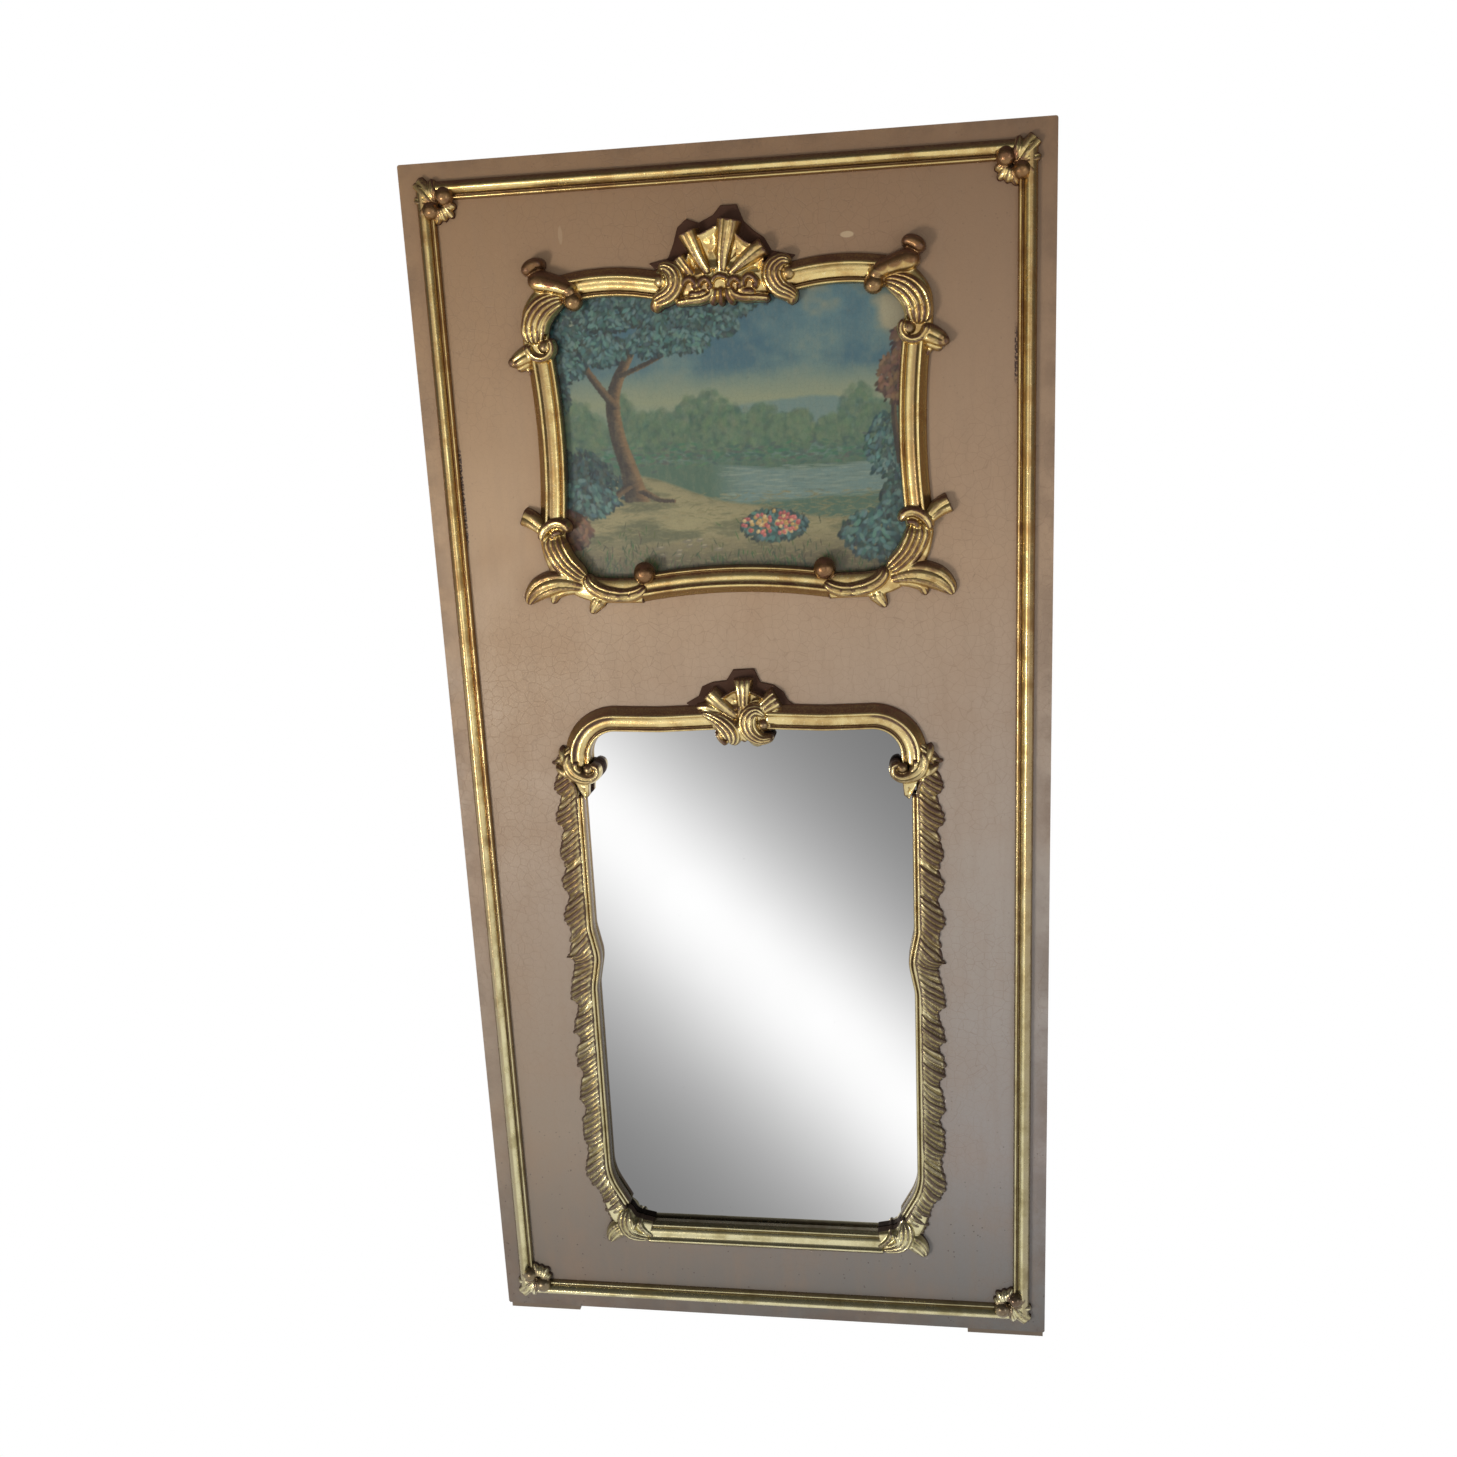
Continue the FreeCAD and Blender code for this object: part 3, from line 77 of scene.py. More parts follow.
def make_object(name, vertices, faces):
    """A smooth-shaded object from points in millimetres."""
    mesh = bpy.data.meshes.new(name)
    mesh.from_pydata([tuple(c * MM for c in v) for v in vertices], [], faces)
    mesh.validate()
    mesh.update()
    mesh.polygons.foreach_set("use_smooth", [True] * len(mesh.polygons))
    item = bpy.data.objects.new(name, mesh)
    bpy.context.scene.collection.objects.link(item)
    return item


def between(a, b, c, d, t):
    """A place on the smooth curve from b to c, which has a and d as its neighbours."""
    return 0.5 * (2 * b + (c - a) * t + (2 * a - 5 * b + 4 * c - d) * t * t
                  + (3 * b - a - 3 * c + d) * t ** 3)


def catmull(points, step):
    """Smooth stations through the given ones; every value of a station is blended."""
    points = [np.array(p, float) for p in points]
    ends = [2 * points[0] - points[1]] + points + [2 * points[-1] - points[-2]]
    out = []
    for k in range(1, len(ends) - 2):
        a, b, c, d = ends[k - 1:k + 3]
        count = max(2, int(math.hypot(*(c - b)[:2]) / step))
        out += [between(a, b, c, d, j / count) for j in range(count)]
    out.append(points[-1])
    return out


def headings(line):
    """Unit direction in the panel's plane at each station."""
    ways = []
    for k in range(len(line)):
        a = line[max(k - 1, 0)]
        b = line[min(k + 1, len(line) - 1)]
        length = math.hypot(b[0] - a[0], b[1] - a[1]) or 1.0
        ways.append(((b[0] - a[0]) / length, (b[1] - a[1]) / length))
    return ways


# Low rims round the crests stand this high, dark all over as a painted shadow.
SHADOW_RIM_HEIGHT = 3.6
PANEL_FLOOR = -0.6
GLASS_FLOOR = -7.6
CROWN = 0.5
STROKE_STEP = 1.6


class Carving:
    """Strokes of a carving, gathered as closed shells and then fused to one skin.

    Places are read off the photo's front plane and moved to where they stand. `floor` is
    the level that the strokes go down to: just inside the panel, or the glass.
    """

    def __init__(self, name, floor=PANEL_FLOOR):
        self.name = name
        self.floor = floor
        self.vertices = []
        self.faces = []
        self.dark = []

    def shell(self, rings):
        """Rings of equal length, joined in order and capped."""
        base = len(self.vertices)
        count = len(rings[0])
        for ring in rings:
            self.vertices.extend(ring)
        for k in range(len(rings) - 1):
            for j in range(count):
                a = base + k * count + j
                b = base + k * count + (j + 1) % count
                self.faces.append((a, b, b + count, a + count))
        self.faces.append(tuple(base + j for j in range(count))[::-1])
        last = base + (len(rings) - 1) * count
        self.faces.append(tuple(last + j for j in range(count)))

    def stroke(self, stations, ribs=0, depth=1.6, ends=(True, True), tilt=0.0):
        """A carved member through stations of (x, z, width, height).

        `ribs` reeds run along it with grooves of the given depth between them. `ends`
        says which ends are rounded off. `tilt` raises the left edge over the right.
        """
        line = catmull([(*seen(x, z, height * 0.55), width, height)
                        for x, z, width, height in stations], STROKE_STEP)
        ways = headings(line)
        along = [0.0]
        for a, b in zip(line, line[1:]):
            along.append(along[-1] + math.hypot(b[0] - a[0], b[1] - a[1]))
        total = along[-1]
        columns = max(16, ribs * 7)
        rings = []
        for s, station, way in zip(along, line, ways):
            x, z, width, height = station
            scale = 1.0
            cap = max(width * 0.5, 0.5)
            for near, rounded in ((s, ends[0]), (total - s, ends[1])):
                if rounded and near < cap:
                    share = 1 - near / cap
                    scale = min(scale, math.sqrt(max(1 - share * share, 0.02)))
            half = width / 2 * scale
            tall = height * (0.35 + 0.65 * scale)
            ring = []
            for j in range(columns + 1):
                u = -1 + 2 * j / columns
                arch = (1 - abs(u) ** 2.4) ** CROWN
                out = tall * (0.42 + 0.58 * arch) + tilt * u * tall
                if ribs:
                    reed = abs(math.sin(math.pi * ribs * (u + 1) / 2))
                    out -= depth * (1 - reed ** 0.8) * min(1, scale * 1.2)
                ring.append((x - way[1] * u * half, -max(out, 0.4), z + way[0] * u * half))
            ring.append((x - way[1] * half, -self.floor, z + way[0] * half))
            ring.append((x + way[1] * half, -self.floor, z - way[0] * half))
            rings.append(ring)
        self.shell(rings)

    def curl(self, centre, radii, angles, widths, heights, ribs, depth):
        """A spiral member; each pair gives the start and the end value."""
        steps = 12
        stations = []
        for k in range(steps + 1):
            t = k / steps
            r, a, width, height = [start + (end - start) * t
                                   for start, end in (radii, angles, widths, heights)]
            a = math.radians(a)
            stations.append((centre[0] + r * math.cos(a), centre[1] + r * math.sin(a),
                             width, height))
        self.stroke(stations, ribs, depth)

    def ball(self, x, z, radius, height, dark):
        """A ball on the panel, slightly out of true as a hand leaves it."""
        px, pz = seen(x, z, height * 0.8)
        middle = height - radius
        rings = []
        rows, columns = 14, 22
        for k in range(1, rows):
            a = math.pi * k / rows
            ring = []
            for j in range(columns):
                b = 2 * math.pi * j / columns
                way = Vector((math.sin(a) * math.cos(b), -math.cos(a),
                              math.sin(a) * math.sin(b)))
                r = radius * (1 + 0.03 * noise.noise(way * 2 + Vector((x, z, 0)) * 0.1))
                ring.append((px + way.x * r, -middle + way.y * r, pz + way.z * r))
            rings.append(ring)
        self.shell(rings)
        if middle > 0:
            foot = [[(px + 0.8 * radius * math.cos(2 * math.pi * j / columns), y,
                      pz + 0.8 * radius * math.sin(2 * math.pi * j / columns))
                     for j in range(columns)] for y in (0.5, -middle)]
            self.shell(foot)
        if dark:
            self.dark.append((px, pz, radius + 1.0, dark))

    def shade(self, x, z, radius, share):
        """Painted shade, dark brown, over a round patch of the carving."""
        middle_height = 16
        self.dark.append((*seen(x, z, middle_height), radius, share))

    def plate(self, points, heights, rim=2.0):
        """A dished web: an outline on the panel, lower in the middle than at its rim."""
        outline = [(*seen(x, z, h), h) for (x, z), h in zip(points, heights)]
        cx = sum(p[0] for p in outline) / len(outline)
        cz = sum(p[1] for p in outline) / len(outline)
        rings = []
        for share, drop in ((1.0, None), (1.0, 0.0), (0.92, 0.4), (0.6, rim), (0.2, rim * 1.25)):
            ring = []
            for x, z, h in outline:
                out = PANEL_FLOOR if drop is None else max(h - drop, 0.5)
                ring.append((cx + (x - cx) * share, -out, cz + (z - cz) * share))
            rings.append(ring)
        self.shell(rings)

    def rim(self, points):
        """A low edge round a raised group, dark all over: a painted shadow."""
        self.plate(points, [SHADOW_RIM_HEIGHT] * len(points), 0.0)

    def finish(self, voxel=0.9):
        """One closed skin, softened as gesso softens a carving."""
        item = make_object(self.name, self.vertices, self.faces)
        remesh = item.modifiers.new("fuse", "REMESH")
        remesh.mode = "VOXEL"
        remesh.voxel_size = voxel * MM
        remesh.use_smooth_shade = True
        soften = item.modifiers.new("soften", "SMOOTH")
        soften.iterations = 1
        soften.factor = 0.5
        graph = bpy.context.evaluated_depsgraph_get()
        mesh = bpy.data.meshes.new_from_object(item.evaluated_get(graph))
        item.modifiers.clear()
        item.data = mesh
        mesh.name = self.name
        # The parts near the panel get the foot tone, a painted dark shadow.
        mark(item, self.dark, foot=True)
        return item


def mark(item, dark=(), base=None, foot=False):
    """Stores how hollow or proud each point is, and where red ground and painted shade show.

    `dark` holds round patches of (x, z, radius, share), of red ground or painted shade, `base`
    a tone for each point, and `foot` asks for a dark foot, a tone of 2, a painted shadow where
    the piece meets the panel.
    """
    mesh = item.data
    count = len(mesh.vertices)
    co = np.zeros(count * 3)
    mesh.vertices.foreach_get("co", co)
    co = co.reshape(-1, 3)
    normal = np.zeros(count * 3)
    mesh.vertices.foreach_get("normal", normal)
    normal = normal.reshape(-1, 3)
    edges = np.zeros(len(mesh.edges) * 2, int)
    mesh.edges.foreach_get("vertices", edges)
    a, b = edges.reshape(-1, 2).T
    degree = np.bincount(np.concatenate([a, b]), minlength=count)[:, None].clip(1)
    soft = co.copy()
    for _ in range(7):
        total = np.stack([np.bincount(a, soft[b, k], count) + np.bincount(b, soft[a, k], count)
                          for k in range(3)], 1)
        soft = 0.3 * soft + 0.7 * total / degree
    hollow = ((soft - co) * normal).sum(1) / MM
    tone = np.zeros(count) if base is None else np.array(base, float)
    # The foot tone is a painted shadow where the piece meets the panel.
    if foot:
        tone = 2.0 * np.clip((5.2 + co[:, 1] / MM) / 1.5, 0, 1)
    for x, z, radius, strength in dark:
        near = np.hypot(co[:, 0] / MM - x, co[:, 2] / MM - z)
        tone = np.maximum(tone, strength * np.clip((radius + 2.5 - near) / 2.5, 0, 1))
    for name, values in (("hollow", np.clip(hollow, -2, 2)), ("bole", tone)):
        layer = mesh.attributes.new(name, "FLOAT", "POINT")
        layer.data.foreach_set("value", values.astype(np.float32))


def mirrored(item):
    """The same piece for the right half, named after the left one."""
    name = item.name.replace("left", "right")
    mesh = item.data.copy()
    mesh.name = name
    mesh.transform(Matrix.Scale(-1, 4, Vector((1, 0, 0))))
    mesh.flip_normals()
    twin = bpy.data.objects.new(name, mesh)
    bpy.context.scene.collection.objects.link(twin)
    return twin


def settle(item, material, node):
    """Gives a piece its material, in the place of one CAD node."""
    item.data.materials.clear()
    item.data.materials.append(material)
    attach(item, BODY)
    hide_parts(node)


def settle_pair(item, gilt, node):
    """A left piece and its twin; `node` is the CAD pair's name without the side."""
    twin = mirrored(item)
    settle(item, gilt, node + "_left")
    settle(twin, gilt, node + "_right")


# ------------------------------------------------------------------ node helpers

def srgb(r, g, b):
    """A colour as a picture shows it, for the shader."""
    return tuple(((c / 255 + 0.055) / 1.055) ** 2.4 if c > 10 else c / 255 / 12.92
                 for c in (r, g, b)) + (1.0,)


class Nodes:
    """Short names for building the node tree of a material, or of the world."""

    def __init__(self, name, world=False):
        self.owner = (bpy.data.worlds if world else bpy.data.materials).new(name)
        self.owner.use_nodes = True
        self.tree = self.owner.node_tree
        self.tree.nodes.clear()
        self.out = self.node("OutputWorld" if world else "OutputMaterial")
        self.coords = self.node("TexCoord").outputs["Generated" if world else "Object"]

    def node(self, kind, **values):
        item = self.tree.nodes.new("ShaderNode" + kind)
        for key, value in values.items():
            setattr(item, key, value)
        return item

    def feed(self, socket, value):
        if isinstance(value, bpy.types.NodeSocket):
            self.tree.links.new(value, socket)
        else:
            socket.default_value = value

    def math(self, operation, a, b=0.0, clamp=False):
        item = self.node("Math", operation=operation, use_clamp=clamp)
        self.feed(item.inputs[0], a)
        self.feed(item.inputs[1], b)
        return item.outputs[0]

    def scaled(self, scale, offset=(0, 0, 0)):
        item = self.node("Mapping")
        self.feed(item.inputs["Vector"], self.coords)
        item.inputs["Scale"].default_value = scale
        item.inputs["Location"].default_value = offset
        return item.outputs[0]

    def noise(self, scale, detail=4.0, rough=0.55, vector=None, distortion=0.0):
        item = self.node("TexNoise")
        self.feed(item.inputs["Vector"], vector or self.coords)
        item.inputs["Scale"].default_value = scale
        item.inputs["Detail"].default_value = detail
        item.inputs["Roughness"].default_value = rough
        item.inputs["Distortion"].default_value = distortion
        return item.outputs[0]

    def voronoi(self, scale, feature="F1", vector=None):
        item = self.node("TexVoronoi", feature=feature)
        self.feed(item.inputs["Vector"], vector or self.coords)
        item.inputs["Scale"].default_value = scale
        return item.outputs["Distance"]

    def ramp(self, value, low, high, a=0.0, b=1.0, smooth=True):
        item = self.node("MapRange")
        item.interpolation_type = "SMOOTHSTEP" if smooth else "LINEAR"
        self.feed(item.inputs[0], value)
        for k, number in enumerate((low, high, a, b), start=1):
            item.inputs[k].default_value = number
        return item.outputs[0]

    def mix(self, factor, a, b):
        item = self.node("Mix", data_type="RGBA")
        self.feed(item.inputs[0], factor)
        self.feed(item.inputs[6], a)
        self.feed(item.inputs[7], b)
        return item.outputs[2]

    def stops(self, value, stops):
        """Colours as a picture shows them, at places along a value from 0 to 1."""
        item = self.node("ValToRGB")
        elements = item.color_ramp.elements
        while len(elements) < len(stops):
            elements.new(0.5)
        for element, (place, colour) in zip(elements, stops):
            element.position = place
            element.color = srgb(*colour)
        self.feed(item.inputs[0], value)
        return item.outputs[0]

    def attribute(self, name, output="Fac"):
        return self.node("Attribute", attribute_name=name).outputs[output]

    def axis(self, vector, name):
        item = self.node("SeparateXYZ")
        self.feed(item.inputs[0], vector)
        return item.outputs[name]

    def bump(self, height, distance, strength=1.0, normal=None):
        item = self.node("Bump")
        self.feed(item.inputs["Height"], height)
        item.inputs["Distance"].default_value = distance
        item.inputs["Strength"].default_value = strength
        if normal is not None:
            self.feed(item.inputs["Normal"], normal)
        return item.outputs[0]

    def blend(self, factor, a, b):
        item = self.node("MixShader")
        for socket, value in zip(item.inputs, (factor, a, b)):
            self.feed(socket, value)
        return item.outputs[0]

    def principled(self, **inputs):
        item = self.node("BsdfPrincipled")
        for key, value in inputs.items():
            self.feed(item.inputs[key.replace("_", " ")], value)
        self.feed(self.out.inputs[0], item.outputs[0])


# ------------------------------------------------------------------ materials

def gilding_material():
    """Old water gilding: pale leaf over a red-brown clay ground, grimed in its hollows.

    The hollows are darker also as painted shade, and what faces up is painted dark as shade
    and as a painted dark reflection. Low on the panel every tone is painted cooler, as cool
    light. The feet carry a painted dark shadow.
    """
    n = Nodes("gilding")
    hollow = n.attribute("hollow")
    bole = n.attribute("bole")
    patches = n.noise(30, 5, 0.6)
    fine = n.noise(420, 4, 0.6)
    # Low on the panel each tone is painted cooler: painted cool light.
    height = n.ramp(n.axis(n.coords, "Z"), 0.2, 1.3)
    pale = n.mix(height, srgb(212, 204, 164), srgb(218, 194, 132))
    deep = n.mix(height, srgb(176, 166, 122), srgb(184, 150, 92))
    leaf = n.mix(n.ramp(patches, 0.35, 0.7), pale, deep)
    leaf = n.mix(n.ramp(fine, 0.55, 0.75, 0, 0.7), leaf, srgb(236, 224, 180))
    # What faces up is painted dark: painted shade and a painted dark reflection.
    up = n.axis(n.node("NewGeometry").outputs["Normal"], "Z")
    up_facing_shade = n.math("MULTIPLY", n.ramp(up, 0.2, 0.8, 0, 0.9),
                    n.ramp(n.axis(n.coords, "Z"), 0.12, 0.9, 0.2, 1.0))
    # Hollows darken partly as grime and partly as painted shade.
    dirt_and_shade = n.math("ADD", n.ramp(hollow, -0.04, -0.30), up_facing_shade)
    dirt_and_shade = n.math("ADD", dirt_and_shade, n.math("MULTIPLY", n.ramp(patches, 0.5, 0.75), 0.25))
    dirt_and_shade = n.math("MULTIPLY", dirt_and_shade, n.ramp(fine, 0.3, 0.6, 0.75, 1.1), clamp=True)
    # A tone above 1 is the painted dark shadow at the feet of the carvings.
    foot = n.ramp(bole, 1.1, 1.9)
    dirt_and_shade = n.math("MAXIMUM", dirt_and_shade, foot)
    red = n.math("MULTIPLY", bole, n.ramp(patches, 0.3, 0.6, 1.1, 0.8), clamp=True)
    worn = n.math("MULTIPLY", n.ramp(hollow, 0.12, 0.45), n.ramp(fine, 0.45, 0.62), clamp=True)
    tone = n.mix(red, leaf, n.mix(height, srgb(96, 76, 62), srgb(108, 68, 46)))
    tone = n.mix(dirt_and_shade, tone, n.mix(height, srgb(82, 66, 54), srgb(88, 56, 40)))
    tone = n.mix(n.math("MULTIPLY", worn, 0.3), tone, srgb(150, 98, 70))
    tone = n.mix(n.math("MULTIPLY", foot, 0.9), tone,
                 n.mix(height, srgb(62, 46, 36), srgb(66, 36, 16)))
    rough = n.math("ADD", n.ramp(patches, 0.3, 0.7, 0.20, 0.32), n.math("MULTIPLY", dirt_and_shade, 0.16))
    rough = n.math("ADD", rough, n.math("MULTIPLY", foot, 0.35))
    metal = n.ramp(n.math("MAXIMUM", dirt_and_shade, n.math("MULTIPLY", red, 0.5)), 0.2, 1.0, 0.97, 0.3)
    relief = n.bump(fine, 0.0003, 0.5, n.bump(patches, 0.0012, 0.5))
    n.principled(Base_Color=tone, Metallic=metal, Roughness=rough, Normal=relief)
    return n.owner


def painted_material():
    """Old oil paint on boards, crazed, chipped and stained, with its light and shade painted in:
    warm tan above, browner at the top, greyer and darker below and on the right.
    """
    floor_grey, shadow_grey, low_grey = (106, 99, 93), (103, 103, 102), (153, 148, 147)
    low_tan, middle_tan, warm_tan = (139, 125, 110), (150, 130, 111), (176, 146, 113)
    cool_tan, rosy_tan = (169, 159, 151), (176, 149, 123)
    top_brown, shadow_brown = (145, 113, 80), (134, 104, 76)
    n = Nodes("painted_front")
    x = n.axis(n.coords, "X")
    z = n.axis(n.coords, "Z")
    broad = n.noise(2.2, 3, 0.5)
    cloudy = n.noise(9, 4, 0.6)
    brush = n.noise(60, 3, 0.6, n.scaled((1, 1, 0.12)))
    # Painted light and shade: ramps from bottom to top, greyer on the right, blended across.
    level = n.math("DIVIDE", n.math("ADD", z, n.math("MULTIPLY",
                                                     n.math("SUBTRACT", broad, 0.5), 0.12)), 1.7)
    left = n.stops(level, ((0.0, floor_grey), (0.18, low_tan), (0.4, middle_tan),
                           (0.72, warm_tan), (1.0, top_brown)))
    right = n.stops(level, ((0.0, shadow_grey), (0.18, low_grey), (0.42, cool_tan),
                            (0.70, rosy_tan), (1.0, shadow_brown)))
    tone = n.mix(n.ramp(x, -0.36, 0.36, smooth=False), left, right)
    tone = n.mix(n.ramp(cloudy, 0.42, 0.72, 0, 0.18), tone, srgb(158, 124, 96))
    tone = n.mix(n.ramp(brush, 0.4, 0.75, 0, 0.16), tone, srgb(140, 118, 96))
    warp = n.noise(30, 2, 0.5)
    wander = n.node("TexNoise")
    n.feed(wander.inputs["Vector"], n.coords)
    wander.inputs["Scale"].default_value = 24
    shift = n.node("VectorMath", operation="SCALE")
    n.feed(shift.inputs[0], wander.outputs["Color"])
    shift.inputs["Scale"].default_value = 0.012
    moved = n.node("VectorMath", operation="ADD")
    n.feed(moved.inputs[0], n.coords)
    n.feed(moved.inputs[1], shift.outputs[0])
    cells = n.voronoi(78, "DISTANCE_TO_EDGE", moved.outputs[0])
    small = n.voronoi(150, "DISTANCE_TO_EDGE", moved.outputs[0])
    crazed = n.ramp(broad, 0.40, 0.56)
    crack = n.math("MULTIPLY", n.ramp(cells, 0.035, 0.0), crazed)
    crack = n.math("ADD", crack, n.math("MULTIPLY", n.ramp(small, 0.05, 0.0), 0.35), clamp=True)
    tone = n.mix(n.math("MULTIPLY", crack, 0.26), tone, srgb(112, 88, 66))
    edge = n.math("MAXIMUM", n.ramp(n.math("ABSOLUTE", x), 0.378, 0.418),
                  n.math("MAXIMUM", n.ramp(z, 1.67, 1.705), n.ramp(z, 0.05, 0.01)))
    stain = n.math("MULTIPLY", edge, n.ramp(n.noise(14, 5, 0.65), 0.4, 0.62))
    tone = n.mix(n.math("MULTIPLY", stain, 0.4), tone, srgb(92, 70, 54))
    low = n.ramp(z, 0.5, 0.1, 0.25, 1.0)
    specks = n.math("MULTIPLY", n.ramp(n.voronoi(120), 0.17, 0.1), n.ramp(warp, 0.5, 0.6))
    tone = n.mix(n.math("MULTIPLY", n.math("MULTIPLY", specks, low), 0.8), tone, srgb(66, 54, 46))
    chips = ((0.160, 1.581, 0.009, 0.004, 0.6), (-0.206, 1.602, 0.003, 0.012, 0.2))
    for px, pz, wide, tall, share in chips:
        across = n.math("DIVIDE", n.math("SUBTRACT", x, px), wide)
        along = n.math("DIVIDE", n.math("SUBTRACT", z, pz), tall)
        spread = n.math("ADD", n.math("MULTIPLY", across, across),
                        n.math("MULTIPLY", along, along))
        chip = n.math("MULTIPLY", n.ramp(spread, 1.1, 0.6), share)
        tone = n.mix(chip, tone, srgb(204, 182, 148))
    lost_gilt = ((-0.3665, 1.20, 1.35), (0.3665, 1.385, 1.47))
    for px, low_z, high_z in lost_gilt:
        strip = n.ramp(n.math("ABSOLUTE", n.math("SUBTRACT", x, px)), 0.0022, 0.0012)
        span = n.math("MULTIPLY", n.ramp(z, low_z, low_z + 0.02), n.ramp(z, high_z, high_z - 0.02))
        beads = n.ramp(n.noise(330, 2, 0.5), 0.44, 0.5)
        lost = n.math("MULTIPLY", n.math("MULTIPLY", strip, span), beads)
        tone = n.mix(lost, tone, srgb(60, 38, 30))
    rough = n.ramp(cloudy, 0.3, 0.7, 0.42, 0.55)
    relief = n.bump(crack, -0.0004, 0.35, n.bump(brush, 0.0006, 0.35))
    n.principled(Base_Color=tone, Roughness=rough, Normal=relief)
    return n.owner


def wood_material(name, dark, pale, along):
    """Planed wood with the grain along one axis."""
    n = Nodes(name)
    squeeze = {"x": (0.06, 1, 1), "z": (1, 1, 0.06)}[along]
    grain = n.noise(95, 6, 0.65, n.scaled(squeeze), 0.6)
    bands = n.noise(24, 3, 0.5, n.scaled(squeeze, (0.3, 0.2, 0.1)))
    tone = n.mix(n.ramp(grain, 0.3, 0.7), dark, pale)
    tone = n.mix(n.ramp(bands, 0.4, 0.65, 0, 0.5), tone, dark)
    grime_and_shade = n.noise(7, 5, 0.6)
    tone = n.mix(n.ramp(grime_and_shade, 0.45, 0.75, 0, 0.45), tone, srgb(78, 60, 44))
    tone = n.mix(n.ramp(n.axis(n.coords, "Z"), 0.03, 0.015, 0, 0.9), tone, srgb(112, 103, 94))
    n.principled(Base_Color=tone, Roughness=n.ramp(grain, 0.3, 0.7, 0.62, 0.8),
                 Normal=n.bump(grain, 0.0005, 0.5))
    return n.owner


def metal_material(name, bright, dull, low, high):
    """Metal with duller spots; its roughness goes from low to high."""
    n = Nodes(name)
    spots = n.noise(160, 5, 0.6)
    tone = n.mix(n.ramp(spots, 0.45, 0.7), bright, dull)
    n.principled(Base_Color=tone, Metallic=1.0, Roughness=n.ramp(spots, 0.3, 0.7, low, high),
                 Normal=n.bump(spots, 0.0002, 0.4))
    return n.owner


def mirror_material():
    """Old silvered glass with a painted reflection: a bright slanting band painted into its
    colour, duller around it.
    """
    darkest, fall_below, fall_above, band = 0.15, 0.150, 0.127, 0.505
    n = Nodes("looking_glass")
    # Painted reflection: a bright slanting band, falling off to dull grey on both sides.
    slant = n.math("DIVIDE", n.math("ADD", n.axis(n.coords, "X"), n.axis(n.coords, "Z")), 1.2)
    away = n.math("SUBTRACT", slant, band)
    fall = n.math("MAXIMUM", n.math("DIVIDE", away, fall_above),
                  n.math("DIVIDE", away, -fall_below))
    light = n.math("ADD", darkest, n.math("DIVIDE", 1 - darkest, n.math("COSH", fall)))
    haze = n.noise(6, 3, 0.5)
    painted_reflection = n.node("CombineColor")
    for socket in painted_reflection.inputs:
        n.feed(socket, light)
    share = n.mix(n.ramp(haze, 0.3, 0.7, 0.0, 0.03), painted_reflection.outputs[0], srgb(120, 120, 118))
    spots = n.math("MULTIPLY", n.ramp(n.voronoi(90), 0.10, 0.04),
                   n.ramp(n.noise(11, 3, 0.5), 0.60, 0.7))
    tone = n.mix(n.math("MULTIPLY", spots, 0.5), share, srgb(90, 84, 78))
    n.principled(Base_Color=tone, Metallic=1.0, Roughness=n.ramp(haze, 0.3, 0.7, 0.02, 0.035))
    return n.owner


def picture_material():
    """Oil paint with its strokes, crazing and varnish, coloured by the painted layer."""
    n = Nodes("picture_paint")
    paint = n.attribute("paint", "Color")
    strokes = n.noise(180, 4, 0.6, n.scaled((1, 1, 0.5)))
    cells = n.voronoi(190, "DISTANCE_TO_EDGE")
    crack = n.ramp(cells, 0.05, 0.0)
    tone = n.mix(n.ramp(strokes, 0.4, 0.75, 0, 0.09), paint, srgb(170, 160, 120))
    tone = n.mix(n.math("MULTIPLY", crack, 0.18), tone, srgb(46, 50, 42))
    n.principled(Base_Color=tone, Roughness=n.ramp(strokes, 0.3, 0.7, 0.28, 0.4),
                 Normal=n.bump(strokes, 0.0004, 0.4), Coat_Weight=0.1)
    return n.owner


# ------------------------------------------------------------------ mouldings

def path_samples(points, step=4.0):
    """Stations along straight runs and round bends through (x, z, bend radius)."""
    line = []
    here = Vector(points[0][:2])
    for k in range(1, len(points)):
        corner = Vector(points[k][:2])
        radius = points[k][2] if k < len(points) - 1 else 0
        if not radius:
            end, bend = corner, []
        else:
            before = (corner - here).normalized()
            after = (Vector(points[k + 1][:2]) - corner).normalized()
            turn = math.atan2(before.x * after.y - before.y * after.x, before.dot(after))
            cut = radius * math.tan(abs(turn) / 2)
            end = corner - before * cut
            side = Vector((-before.y, before.x)) * (1 if turn > 0 else -1)
            middle = end + side * radius
            count = max(3, int(abs(turn) * radius / step))
            arm = end - middle
            bend = []
            for j in range(1, count + 1):
                a = turn * j / count
                bend.append(middle + Vector((arm.x * math.cos(a) - arm.y * math.sin(a),
                                             arm.x * math.sin(a) + arm.y * math.cos(a))))
        count = max(1, int((end - here).length / step))
        for j in range(count + 1):
            line.append(here.lerp(end, j / count))
        line.extend(bend)
        here = line[-1].copy()
    clean = [line[0]]
    for p in line[1:]:
        if (p - clean[-1]).length > 1e-3:
            clean.append(p)
    return [tuple(p) for p in clean]


def eased(points, fine):
    """The points with a smooth curve through them, `fine` places for each gap."""
    ends = [points[0]] + list(points) + [points[-1]]
    out = []
    for k in range(1, len(ends) - 2):
        a, b, c, d = [np.array(p, float) for p in ends[k - 1:k + 3]]
        out += [tuple(between(a, b, c, d, j / fine)) for j in range(fine)]
    out.append(tuple(points[-1]))
    return out


